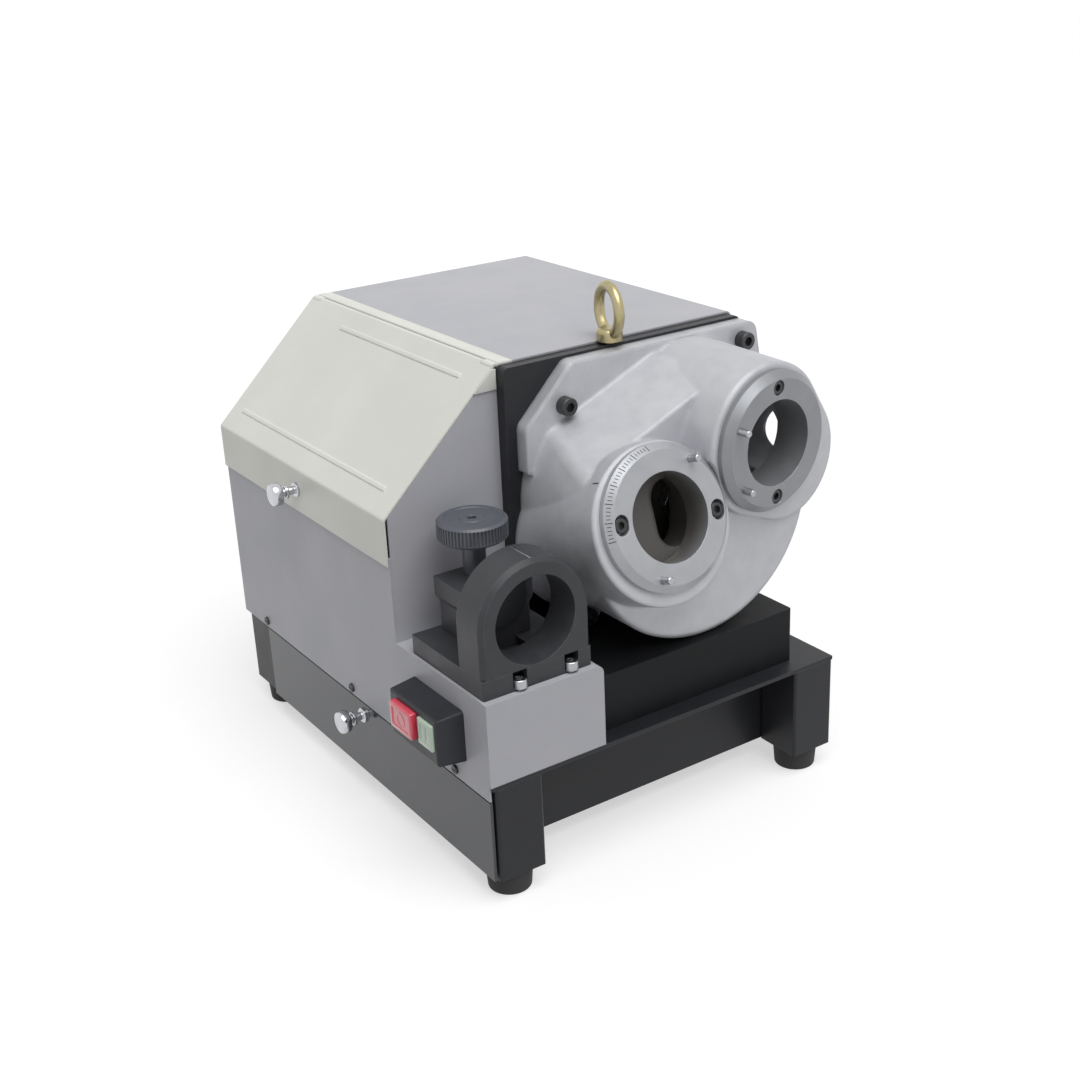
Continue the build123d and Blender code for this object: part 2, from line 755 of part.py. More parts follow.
def make_head():
    axis = (spindle_x, spindle_height)
    cone = Plane(origin=(axis[0], plate_front, axis[1]), x_dir=(1, 0, 0), z_dir=(0, -1, 0)) * Cone(
        head_rear_radius, head_front_radius, plate_front - head_front,
        align=(Align.CENTER, Align.CENTER, Align.MIN),
    )
    out = (cos(radians(facet_angle)), sin(radians(facet_angle)))
    facet_plane = Plane(
        origin=(axis[0] + out[0] * facet_rear, flange_front, axis[1] + out[1] * facet_rear),
        z_dir=(out[0], -facet_slope, out[1]),
    )
    half_space = Box(cutter_reach, cutter_reach, cutter_reach, align=(Align.CENTER, Align.CENTER, Align.MIN))
    cone -= facet_plane * half_space
    long_edges = [edge for edge in cone.edges() if edge.bounding_box().size.Y > pocket_floor]
    cone = fillet(long_edges, facet_blend)
    cone = fillet(cone.faces().sort_by(Axis.Y)[0].edges(), head_edge_radius)
    between = (port_2_place[0] - port_1_place[0], port_2_place[2] - port_1_place[2])
    across = (between[0], 0, between[1])
    pocket_plane = Plane(
        origin=(port_1_place[0], pocket_floor, port_1_place[2]), x_dir=across, z_dir=(0, -1, 0)
    )
    cone -= pocket_plane * Pos(0, cutter_reach / 2, 0) * half_space

    flange_outline = [
        (-head_flange_left, head_flange_left_low),
        (-head_flange_left, head_flange_left_high),
        (-head_flange_top_start, head_flange_top),
        (head_flange_right, head_flange_top),
        head_flange_flare,
        (head_flange_right, head_flange_right_low),
        (head_front_radius, 0),
        (0, 0),
    ]
    flange_points = [(axis[0] + x, axis[1] + z) for x, z in flange_outline]
    flange = sheet_along_y(flange_points, (flange_front, plate_front))
    flange = fillet(
        flange.edges().filter_by(Axis.Y).sort_by(Axis.Z)[-5:], head_flange_corner
    )
    flange += rod_along_y(axis[0], axis[1], head_rear_radius, (flange_front, plate_front))
    for side, (x, z) in zip((-1, 1), head_bolts()[2:]):
        flange += rod_along_y(x, z, head_ear_radius, (flange_front, plate_front))
        lug = Box(head_ear_reach, 2 * head_ear_radius, head_flange_thickness,
                  align=(Align.MIN, Align.CENTER, Align.MIN))
        outward = (side * cos(radians(head_ear_angle)), 0, -sin(radians(head_ear_angle)))
        place = Plane(origin=(axis[0], plate_front, axis[1]), x_dir=outward, z_dir=(0, -1, 0))
        flange += place * lug

    # Bosses run back from the ring seats to the plate
    seat_1 = -ring_thickness - port_1_seat_gap
    seat_2 = -ring_thickness
    boss_1 = Pos(0, -boss_1_drop, 0) * disc(boss_1_radius, (-cutter_reach, seat_1))
    boss_1 = fillet(boss_1.edges().filter_by(GeomType.CIRCLE).sort_by(Axis.Z)[-1], boss_edge_radius)
    lobes = Circle(boss_2_radius) + Pos(*boss_2_lobe_offset) * Circle(boss_2_lobe_radius)
    boss_2 = extrude(make_hull(lobes.edges()), amount=-boss_2_length, taper=-boss_2_draft)
    boss_2 = Pos(0, 0, seat_2) * boss_2
    boss_2 = fillet(boss_2.faces().sort_by(Axis.Z)[-1].edges(), boss_edge_radius)
    room = block(
        (0, cutter_reach), (-cutter_reach, plate_front), (riser_height + fit_gap, cutter_reach)
    )
    ahead = block((0, cutter_reach), (-cutter_reach, plate_front), (0, cutter_reach))
    body = cone + flange + (port_1_plane * boss_1 & ahead) + (port_2_plane * boss_2 & ahead)
    body &= room

    # Cavities: wheel chamber, spigot seats, throat of port 1, relief behind port 2
    body -= rod_along_y(axis[0], axis[1], chamber_radius, (chamber_front, plate_front))
    floor_1 = -port_1_bore_length - port_1_floor_gap
    seat_hole = spigot_radius + running_clearance
    body -= port_1_plane * disc(seat_hole, (floor_1, 0))
    body -= port_1_plane * disc(ring_radius + boss_ring_room, (seat_1, ring_radius))
    throat = SlotOverall(port_1_throat_height, port_1_throat_width, rotation=90)
    throat = extrude(Pos(port_1_throat_offset, 0) * throat, amount=port_1_throat_length)
    body -= port_1_plane * Pos(0, 0, floor_1 - port_1_throat_length) * throat
    body -= port_2_plane * disc(seat_hole, (-port_2_bore_length - port_2_relief_length, 0))
    window_x, window_z = spindle_x + swarf_window_offset[0], spindle_height + swarf_window_offset[1]
    window = Vector(window_x, swarf_window_place, window_z)
    aim = Vector(swarf_window_aim).normalized()
    body -= rod(window - aim * swarf_window_inside, aim, swarf_window_radius, cutter_reach)
    for x, z in head_bolts():
        body -= rod_along_y(x, z, bolt_hole_radius, (flange_front, plate_front))
        body -= rod_along_y(x, z, spot_face_radius, (flange_front - spot_face_depth, flange_front))
    hole_end = -port_screw_seat - port_screw_length - port_screw_hole_spare
    ports = ((port_1_plane, port_1_screws(), seat_1), (port_2_plane, port_2_screws(), seat_2))
    for plane, spots, seat in ports:
        for x, y in spots:
            hole = disc(port_screw_shank_radius + running_clearance, (hole_end, seat))
            body -= plane * Pos(x, y, 0) * hole
    nodes["head_casting"] = body

    bolts = []
    for x, z in head_bolts():
        bolt = socket_screw(
            bolt_head_radius, bolt_head_height, bolt_shank_radius, head_flange_thickness + plate_thickness
        )
        place = Plane(origin=(x, flange_front, z), x_dir=(1, 0, 0), z_dir=(0, -1, 0))
        bolts.append(place * bolt)
    for x, z in motor_bolts():
        bolt = socket_screw(
            bolt_head_radius, bolt_head_height, bolt_shank_radius, plate_thickness + motor_bolt_grip
        )
        place = Plane(origin=(x, plate_front, z), x_dir=(1, 0, 0), z_dir=(0, -1, 0))
        bolts.append(place * bolt)
    nodes["plate_bolts"] = bolts[0] + bolts[1:]


# Guide rings, their screws and index pins

def port_1_screws():
    angles = [radians(port_1_screw_angle + half_turn) for half_turn in (180, 0)]
    return [(port_screw_circle * cos(a), port_screw_circle * sin(a)) for a in angles]


def port_2_screws():
    return [(0.0, -port_screw_circle), (0.0, port_screw_circle)]


def pin_spots(angles):
    return [(pin_circle * cos(radians(a)), pin_circle * sin(radians(a))) for a in angles]


def plain_ring(bore_length, pins):
    ring = disc(ring_radius, (-ring_thickness, 0))
    ring = chamfer(ring.edges().filter_by(GeomType.CIRCLE).sort_by(Axis.Z)[-1], ring_bevel)
    ring += disc(spigot_radius, (-bore_length, -ring_thickness))
    ring -= disc(bore_radius, (-bore_length, 0))
    for x, y in pins:
        ring -= Pos(x, y, 0) * disc(pin_radius, (-pin_depth, 0))
    return ring


def arc_slot(radius, angle, half_width, half_sweep, z):
    # Ring sector along the screw circle with round ends
    band = disc(radius + half_width, z) - disc(radius - half_width, z)
    reach = 2 * radius
    wedge = make_face(Polyline(
        (0, 0),
        (reach * cos(radians(-half_sweep)), reach * sin(radians(-half_sweep))),
        (reach * cos(radians(half_sweep)), reach * sin(radians(half_sweep))),
        close=True,
    ))
    wedge = Pos(0, 0, z[0]) * extrude(wedge, amount=z[1] - z[0])
    slot = band & wedge
    for side in (-1, 1):
        a = radians(side * half_sweep)
        slot += Pos(radius * cos(a), radius * sin(a), 0) * disc(half_width, z)
    return Rot(0, 0, angle) * slot


def index_pins(plane, spots, proud):
    pins = []
    for x, y in spots:
        pin = disc(pin_radius, (-pin_depth, proud))
        pin = chamfer(pin.edges().filter_by(GeomType.CIRCLE).sort_by(Axis.Z)[-1], pin_radius * 0.25)
        pins.append(plane * Pos(x, y, 0) * pin)
    return pins[0] + pins[1:]


def ring_screws(plane, spots, lift, turn):
    screws = []
    for x, y in spots:
        screw = socket_screw(
            port_screw_head_radius, port_screw_head_height, port_screw_shank_radius, port_screw_length
        )
        place = Pos(x, y, -port_screw_seat + lift) * Rot(0, 0, turn)
        screws.append(plane * place * screw)
    return screws


def make_ports():
    # Port 1: the ring swings a little under its two clamp screws
    ring = plain_ring(port_1_bore_length, pin_spots(port_1_pin_angles))
    sweep = port_1_swing + port_1_slot_spare
    shank_room = port_screw_shank_radius + port_screw_room
    head_room = port_screw_head_radius + port_screw_room
    for angle in (port_1_screw_angle, port_1_screw_angle + 180):
        ring -= arc_slot(port_screw_circle, angle, shank_room, sweep, (-ring_thickness, 0))
        ring -= arc_slot(port_screw_circle, angle, head_room, sweep, (-port_screw_seat, 0))
    nodes["port_1_ring"] = port_1_plane * ring
    nodes["port_1_pins"] = index_pins(port_1_plane, pin_spots(port_1_pin_angles), port_1_pin_proud)
    turn = port_screw_turn + port_1_screw_angle
    screws = ring_screws(port_1_plane, port_1_screws(), port_1_seat_gap, turn)

    # Port 2: fixed ring
    ring = plain_ring(port_2_bore_length, pin_spots(port_2_pin_angles))
    for x, y in port_2_screws():
        ring -= Pos(x, y, 0) * disc(shank_room, (-ring_thickness, 0))
        ring -= Pos(x, y, 0) * disc(head_room, (-port_screw_seat, 0))
    nodes["port_2_ring"] = port_2_plane * ring
    nodes["port_2_pins"] = index_pins(port_2_plane, pin_spots(port_2_pin_angles), port_2_pin_proud)
    screws += ring_screws(port_2_plane, port_2_screws(), 0.0, port_screw_turn)
    nodes["port_screws"] = screws[0] + screws[1:]


# Lifting eye: ring in the Y and Z plane above a round collar

def make_eye():
    tube = (eye_ring_radius - eye_loop_radius) / 2
    loop_height = eye_seat + eye_height - eye_ring_radius
    across = (cos(radians(eye_turn)), -sin(radians(eye_turn)), 0)
    loop = Plane(origin=(eye_x, plate_middle, loop_height), z_dir=across) * Torus(
        eye_ring_radius - tube, tube
    )
    collar = rod((eye_x, plate_middle, eye_seat), (0, 0, 1), eye_collar_radius, eye_collar_height)
    collar = fillet(collar.edges().sort_by(Axis.Z)[-1], eye_collar_height * 0.4)
    shank_length = eye_seat - plate_height + eye_shank_length
    shank = rod((eye_x, plate_middle, eye_seat), (0, 0, -1), eye_shank_radius, shank_length)
    nodes["lifting_eye"] = loop + collar + shank


# Motor inside the hood

def make_motor():
    x, z = spindle_x, spindle_height
    shaft_hole = shaft_radius + shaft_hole_room
    front = rod_along_y(x, z, motor_bell_radius, (bell_front, frame_front))
    front += rod_along_y(x, z, pilot_radius - running_clearance, (bell_front - pilot_length, bell_front))
    front -= rod_along_y(x, z, shaft_hole, (bell_front - pilot_length, frame_front))
    front -= rod_along_y(x, z, bearing_radius, (frame_front - bearing_width, frame_front))
    bolt_end = bell_front + motor_bolt_grip + screw_hole_room
    for bx, bz in motor_bolts():
        front -= rod_along_y(bx, bz, bolt_hole_radius, (bell_front, bolt_end))
    nodes["motor_front_bell"] = front
    back = rod_along_y(x, z, motor_bell_radius, (frame_back, bell_back))
    back -= rod_along_y(x, z, shaft_hole, (frame_back, bell_back))
    back -= rod_along_y(x, z, bearing_radius, (frame_back, frame_back + bearing_width))
    nodes["motor_rear_bell"] = back
    frame_bore = motor_radius - motor_shell
    nodes["motor_frame"] = ring_along_y(x, z, motor_radius, frame_bore, (frame_front, frame_back))
    core_middle = (frame_front + frame_back) / 2
    core_y = (core_middle - stator_length / 2, core_middle + stator_length / 2)
    nodes["stator"] = ring_along_y(x, z, frame_bore, stator_bore, core_y)
    nodes["rotor"] = ring_along_y(x, z, stator_bore - air_gap, shaft_radius, core_y)
    nodes["spindle_shaft"] = rod_along_y(x, z, shaft_radius, (shaft_front, shaft_rear))
    bearing_bore = shaft_radius + running_clearance
    nodes["front_bearing"] = ring_along_y(
        x, z, bearing_radius, bearing_bore, (frame_front - bearing_width, frame_front)
    )
    nodes["rear_bearing"] = ring_along_y(
        x, z, bearing_radius, bearing_bore, (frame_back, frame_back + bearing_width)
    )
    fan_y = (bell_back + fan_gap, bell_back + fan_gap + fan_width)
    fan = rod_along_y(x, z, fan_hub_radius, fan_y)
    for index in range(fan_blades):
        blade = Box(fan_radius, fan_blade_thickness, fan_width, align=(Align.MIN, Align.CENTER, Align.MIN))
        place = Plane(origin=(x, fan_y[0], z), x_dir=(1, 0, 0), z_dir=(0, 1, 0))
        fan += place * Rot(0, 0, index * 360 / fan_blades) * blade
    nodes["motor_fan"] = fan - rod_along_y(x, z, shaft_radius, fan_y)
    box_top = z - sqrt(motor_radius ** 2 - (terminal_box_width / 2) ** 2)
    box = block(
        (x - terminal_box_width / 2, x + terminal_box_width / 2),
        (core_middle - terminal_box_length / 2, core_middle + terminal_box_length / 2),
        (z - motor_radius - terminal_box_height, box_top),
    )
    nodes["terminal_box"] = box - rod_along_y(x, z, motor_radius, (frame_front, frame_back))
    nodes["start_capacitor"] = rod(
        (x + capacitor_offset[0], hood_front + capacitor_offset[1], deck_height), (0, 0, 1),
        capacitor_radius, capacitor_height,
    )


# Grinding wheel on the spindle nose

def make_wheel():
    x, z = spindle_x, spindle_height
    nodes["abrasive_rim"] = ring_along_y(
        x, z, wheel_radius, wheel_radius - rim_width, (wheel_face, wheel_body_front)
    )
    nodes["wheel_body"] = ring_along_y(x, z, wheel_radius, shaft_radius, (wheel_body_front, wheel_body_back))
    nodes["wheel_hub"] = ring_along_y(
        x, z, wheel_hub_radius, shaft_radius, (wheel_body_back, wheel_body_back + wheel_hub_length)
    )
    nut_y = (wheel_body_front - wheel_nut_height, wheel_body_front)
    nut = Plane(origin=(x, nut_y[1], z), x_dir=(1, 0, 0), z_dir=(0, -1, 0)) * extrude(
        RegularPolygon(wheel_nut_radius, 6), amount=wheel_nut_height
    )
    nodes["wheel_nut"] = nut - rod_along_y(x, z, shaft_radius, nut_y)


# Cable gland

def make_gland():
    x, z = gland_x, deck_height + gland_rise
    outside = (hood_back, hood_back + gland_proud)
    inside = (hood_back - skin - gland_inside, hood_back - skin)
    gland = rod_along_y(x, z, gland_body_radius, outside)
    gland = fillet(gland.edges().sort_by(Axis.Y)[-1], gland_proud * 0.25)
    gland += rod_along_y(x, z, gland_neck_radius, (inside[0], outside[0]))
    gland += rod_along_y(x, z, gland_body_radius, (inside[1] - gland_inside * 0.5, inside[1]))
    nodes["cable_gland"] = gland - rod_along_y(x, z, gland_bore_radius, (inside[0], outside[1]))


# Switch with two push buttons

def button(place, size, proud):
    # Cap through the housing's window, with a shoulder behind its wall
    middle = switch_bottom + switch_height / 2 + button_lift
    face = -switch_depth - proud
    wall_back = -switch_depth + switch_wall
    cap_y = (place - size[0] / 2, place + size[0] / 2)
    cap_z = (middle - size[1] / 2, middle + size[1] / 2)
    cap = block((face, wall_back + fit_gap + button_shoulder_thickness), cap_y, cap_z)
    cap = fillet(cap.edges().filter_by(Axis.X), button_edge_radius)
    cap = fillet(cap.faces().sort_by(Axis.X)[0].edges(), button_edge_radius)
    shoulder = block(
        (wall_back + fit_gap, wall_back + fit_gap + button_shoulder_thickness),
        (cap_y[0] - button_shoulder, cap_y[1] + button_shoulder),
        (cap_z[0] - button_shoulder, cap_z[1] + button_shoulder),
    )
    window = block(
        (-switch_depth, wall_back),
        (cap_y[0] - fit_gap, cap_y[1] + fit_gap),
        (cap_z[0] - fit_gap, cap_z[1] + fit_gap),
    )
    window = fillet(window.edges().filter_by(Axis.X), button_edge_radius + fit_gap)
    return cap + shoulder, window


def make_switch():
    y = (switch_front, switch_front + switch_length)
    z = (switch_bottom, switch_bottom + switch_height)
    seat = Plane(origin=(0, sum(y) / 2, sum(z) / 2), x_dir=(0, 1, 0), z_dir=(-1, 0, 0))
    outline = seat * RectangleRounded(switch_length, switch_height, switch_edge_radius)
    housing = extrude(outline, amount=switch_depth, taper=switch_draft)
    housing = fillet(housing.faces().sort_by(Axis.X)[0].edges(), switch_edge_radius * 0.6)
    inset = switch_depth * tan(radians(switch_draft)) + switch_wall
    room_y = (y[0] + inset, y[1] - inset)
    room_z = (z[0] + inset, z[1] - inset)
    housing -= block((-switch_depth + switch_wall, 0), room_y, room_z)
    stop, stop_window = button(stop_button_place, stop_button_size, stop_button_proud)
    start, start_window = button(start_button_place, start_button_size, start_button_proud)
    nodes["switch_housing"] = housing - stop_window - start_window
    nodes["stop_button"] = stop
    nodes["start_button"] = start
    nodes["contact_block"] = block(
        (-contact_block_depth, 0),
        (room_y[0] + switch_wall, room_y[1] - switch_wall),
        (room_z[0] + switch_wall, room_z[1] - switch_wall),
    )


# Setting fixture

def make_fixture():
    x = (fixture_left, fixture_left + fixture_width)
    base = block(x, (fixture_front, setting_base_back), (bracket_height, setting_base_top))
    base = fillet(base.edges().filter_by(Axis.Z), slide_edge_radius)
    seat = bracket_height + setting_notch_floor
    screws = []
    for place in setting_notch_places:
        base -= block(
            (place - setting_notch_width / 2, place + setting_notch_width / 2),
            (fixture_front, fixture_front + setting_notch_depth),
            (seat, setting_base_top),
        )
        base -= rod((place, setting_screw_y, seat), (0, 0, -1), port_screw_shank_radius + screw_hole_room,
                    setting_notch_floor)
        screw = socket_screw(port_screw_head_radius, port_screw_head_height, port_screw_shank_radius,
                             setting_notch_floor + bracket_sheet + setting_screw_spare)
        screws.append(Pos(place, setting_screw_y, seat) * screw)
    way = dovetail(0.0, setting_base_top, setting_base_top - way_depth)
    nodes["setting_base"] = base - sheet_along_y(way, (setting_block_back, setting_base_back))
    nodes["setting_screws"] = screws[0] + screws[1:]

    block_y = (fixture_front, setting_block_back)
    body = block(x, block_y, (setting_base_top, setting_bore_height))
    body += rod_along_y(fixture_middle, setting_bore_height, fixture_width / 2, block_y)
    body -= block(x, block_y, (0, setting_base_top))
    front_rim = body.faces().sort_by(Axis.Y)[0].edges().filter_by(GeomType.CIRCLE)
    body = chamfer(front_rim, setting_block_bevel)
    nodes["setting_block"] = body - rod_along_y(fixture_middle, setting_bore_height, bore_radius, block_y)

    slide_y = (slide_front, slide_back)
    slide_right = slide_left + slide_width
    head_bottom = slide_top - slide_head_height
    slide = sheet_along_y([
        (slide_left, slide_bottom),
        (slide_right, slide_bottom),
        (slide_right, head_bottom - slide_head_slant),
        (slide_right + slide_head_overhang, head_bottom),
        (slide_right + slide_head_overhang, slide_top),
        (slide_left - slide_head_overhang, slide_top),
        (slide_left - slide_head_overhang, head_bottom),
        (slide_left, head_bottom - slide_head_slant),
    ], slide_y)
    slide = fillet(slide.edges().filter_by(Axis.Z), slide_edge_radius)
    tongue = dovetail(way_clearance, slide_bottom + tongue_root, setting_base_top - way_depth + fit_gap)
    slide += sheet_along_y(tongue, slide_y)
    stem_hole = rod((slide_middle, lock_stem_y, slide_top), (0, 0, -1),
                    lock_stem_radius + running_clearance, lock_stem_depth + fit_gap)
    nodes["stop_slide"] = slide - stem_hole
    pad = rod((fixture_middle, slide_front, setting_bore_height), (0, -1, 0), pad_radius, pad_thickness)
    nodes["stop_pad"] = pad
    knob_seat = (slide_middle, lock_stem_y, lock_knob_bottom)
    knob = rod(knob_seat, (0, 0, 1), lock_knob_radius, lock_knob_thickness)
    knob = chamfer(knob.edges().filter_by(GeomType.CIRCLE), lock_knob_edge)
    knob += rod((slide_middle, lock_stem_y, slide_top - lock_stem_depth), (0, 0, 1), lock_stem_radius,
                lock_knob_lift + lock_stem_depth)
    nodes["lock_knob"] = knob


def dovetail(clearance, top, bottom):
    # Outline of the way (clearance 0) or of the slide's tongue, in X and Z
    flare = (way_bottom - way_top) / 2 / way_depth
    half_top = way_top / 2 + (setting_base_top - top) * flare - clearance
    half_bottom = way_top / 2 + (setting_base_top - bottom) * flare - clearance
    return [
        (slide_middle - half_bottom, bottom),
        (slide_middle + half_bottom, bottom),
        (slide_middle + half_top, top),
        (slide_middle - half_top, top),
    ]


make_base()
make_drawer()
make_hood()
make_lid()
make_stand()
make_head()
make_ports()
make_eye()
make_motor()
make_wheel()
make_gland()
make_switch()
make_fixture()

# The shared frame: origin on the floor under the middle of the whole object
boxes = [shape.bounding_box() for shape in nodes.values()]
low = [min(box.min.X for box in boxes), min(box.min.Y for box in boxes), min(box.min.Z for box in boxes)]
high = [max(box.max.X for box in boxes), max(box.max.Y for box in boxes)]
shift = (-(low[0] + high[0]) / 2, -(low[1] + high[1]) / 2, -low[2])

os.makedirs("parts", exist_ok=True)
for name, shape in nodes.items():
    export_step(Pos(*shift) * shape, "parts/" + name + ".step")
print(len(nodes), "nodes, shift", [round(value, 4) for value in shift])
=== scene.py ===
import json
import math

import bmesh
import bpy
from mathutils import Matrix, Vector


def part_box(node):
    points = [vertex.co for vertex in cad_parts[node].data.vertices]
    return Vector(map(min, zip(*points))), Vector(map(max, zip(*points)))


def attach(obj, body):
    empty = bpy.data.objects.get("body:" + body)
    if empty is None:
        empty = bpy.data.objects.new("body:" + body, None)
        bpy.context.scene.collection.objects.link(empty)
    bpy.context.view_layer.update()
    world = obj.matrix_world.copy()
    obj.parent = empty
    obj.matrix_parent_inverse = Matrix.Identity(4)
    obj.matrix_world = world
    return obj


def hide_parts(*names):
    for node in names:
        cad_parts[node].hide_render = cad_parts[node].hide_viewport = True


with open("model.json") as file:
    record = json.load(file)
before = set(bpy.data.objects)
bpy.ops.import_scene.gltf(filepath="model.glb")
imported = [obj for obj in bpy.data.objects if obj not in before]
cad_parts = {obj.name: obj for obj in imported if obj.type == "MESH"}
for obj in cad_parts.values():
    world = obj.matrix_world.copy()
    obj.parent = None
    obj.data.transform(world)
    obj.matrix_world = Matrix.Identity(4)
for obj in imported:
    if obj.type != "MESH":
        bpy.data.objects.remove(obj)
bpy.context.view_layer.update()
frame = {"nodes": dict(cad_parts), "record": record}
mm = 0.001
print("frame loaded:", len(frame["nodes"]), "nodes")

# Places are in mm on the floor from the base's front left corner, as on the drawing
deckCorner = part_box("base_deck")[0]
drawing = {"panel": 1.5}        # the left panel's sheet stands outside the deck
corner = Vector((deckCorner[0] - drawing["panel"] * mm, deckCorner[1], 0))
portOne = {"centre": (149.6, 0.0, 240.4), "tilt": 19.0}     # degrees, faces up a little
portTwo = {"centre": (247.3, 5.0, 267.9), "turn": 6.0}      # degrees, faces right a little
spindle = {"x": 195.0, "z": 228.0}


def spot(x, y, z):
    return Vector((x, y, z)) * mm + corner


def axes(first, second, third, origin):
    # Place with these three directions as its own x, y and z
    place = Matrix.Identity(4)
    for column, direction in enumerate((first, second, third, origin)):
        for row in range(3):
            place[row][column] = direction[row]
    return place


def portPlace(port):
    tilt, turn = math.radians(port.get("tilt", 0)), math.radians(port.get("turn", 0))
    outward = Vector((math.sin(turn), -math.cos(turn) * math.cos(tilt), math.sin(tilt)))
    across = Vector((math.cos(turn), math.sin(turn), 0))
    return axes(across, outward.cross(across), outward, spot(*port["centre"]))


# Modelling by hand: one piece is open at a time
smoothBelow = math.radians(32)      # sharper folds keep their edge


def pickOnly(piece=None):
    if bpy.context.object and bpy.context.object.mode != "OBJECT":
        bpy.ops.object.mode_set(mode="OBJECT")
    bpy.ops.object.select_all(action="DESELECT")
    if piece:
        piece.select_set(True)
        bpy.context.view_layer.objects.active = piece


def openMesh(piece):
    pickOnly(piece)
    bpy.ops.object.mode_set(mode="EDIT")
    bpy.ops.mesh.select_mode(type="FACE")
    bpy.ops.mesh.select_all(action="DESELECT")


def selectFaces(piece, test):
    bpy.ops.mesh.select_all(action="DESELECT")
    shape = bmesh.from_edit_mesh(piece.data)
    for face in shape.faces:
        face.select_set(bool(test(face)))
    bmesh.update_edit_mesh(piece.data)


def closeMesh():
    bpy.ops.mesh.select_all(action="SELECT")
    bpy.ops.mesh.normals_make_consistent(inside=False)
    bpy.ops.object.mode_set(mode="OBJECT")


def turned(name, profile, sides=64):
    # Lathe work along z: distance along the axis and radius, from the back end to the front
    pickOnly()
    start = profile[0]
    bpy.ops.mesh.primitive_circle_add(
        vertices=sides, radius=start[1] * mm, fill_type="NGON", location=(0, 0, 0)
    )
    piece = bpy.context.object
    piece.name = name
    bpy.ops.object.mode_set(mode="EDIT")
    bpy.ops.mesh.select_mode(type="FACE")
    bpy.ops.mesh.select_all(action="SELECT")
    bpy.ops.transform.translate(value=(0, 0, start[0] * mm))
    for (before, was), (along, radius) in zip(profile, profile[1:]):
        step = (0, 0, (along - before) * mm)
        bpy.ops.mesh.extrude_region_move(TRANSFORM_OT_translate={"value": step})
        size = radius / was
        bpy.ops.transform.resize(value=(size, size, 1), center_override=(0, 0, along * mm))
    closeMesh()
    return piece


def boxed(name, size, edge, steps=3):
    # Block about the origin with all its edges rounded
    pickOnly()
    bpy.ops.mesh.primitive_cube_add(size=1, location=(0, 0, 0))
    piece = bpy.context.object
    piece.name = name
    bpy.ops.object.mode_set(mode="EDIT")
    bpy.ops.mesh.select_all(action="SELECT")
    bpy.ops.transform.resize(value=[length * mm for length in size])
    bpy.ops.mesh.bevel(offset=edge * mm, segments=steps, affect="EDGES")
    closeMesh()
    return piece


def settle(piece, place):
    # The place goes into the mesh, and the object stays at the origin
    piece.matrix_world = place
    pickOnly(piece)
    bpy.ops.object.transform_apply(location=True, rotation=True, scale=True)


def twin(piece, place):
    other = piece.copy()
    other.data = piece.data.copy()
    bpy.context.scene.collection.objects.link(other)
    settle(other, place)
    return other


def joined(name, pieces):
    pickOnly(pieces[0])
    for piece in pieces[1:]:
        piece.select_set(True)
    bpy.ops.object.join()
    pieces[0].name = name
    return pieces[0]


def applyAll(piece):
    pickOnly(piece)
    for modifier in list(piece.modifiers):
        bpy.ops.object.modifier_apply(modifier=modifier.name)


def finishPiece(piece, finish, body, standsFor=()):
    pickOnly(piece)
    bpy.ops.object.shade_smooth_by_angle(angle=smoothBelow)
    piece.data.materials.clear()
    piece.data.materials.append(finish)
    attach(piece, body)
    if standsFor:
        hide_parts(*standsFor)
    pickOnly()


# Finishes
noiseSpan = (0.3, 0.7)      # most of a noise pattern lies between these
edgeSpan = (0.985, 0.8)     # rounded normal against the true one: where the lighter edge, rubbed wear and painted highlight together, starts, and is full


def linear(hexText):
    values = [int(hexText[i:i + 2], 16) / 255 for i in (0, 2, 4)]
    return tuple(v / 12.92 if v <= 0.04045 else ((v + 0.055) / 1.055) ** 2.4 for v in values) + (1.0,)


def perMm(size):
    return 1 / (size * mm)      # pattern scale for features of this size


def addNode(finish, kind, settings=None, links=None):
    node = finish.node_tree.nodes.new("ShaderNode" + kind)
    for name, value in (settings or {}).items():
        if isinstance(name, str) and hasattr(node, name):
            setattr(node, name, value)
        else:
            node.inputs[name].default_value = value
    for name, source in (links or {}).items():
        finish.node_tree.links.new(source, node.inputs[name])
    return node


def newFinish(name, look):
    finish = bpy.data.materials.new(name)
    finish.use_nodes = True
    shader = finish.node_tree.nodes["Principled BSDF"]
    for socket, value in look.get("sockets", {}).items():
        shader.inputs[socket].default_value = value
    return finish, shader


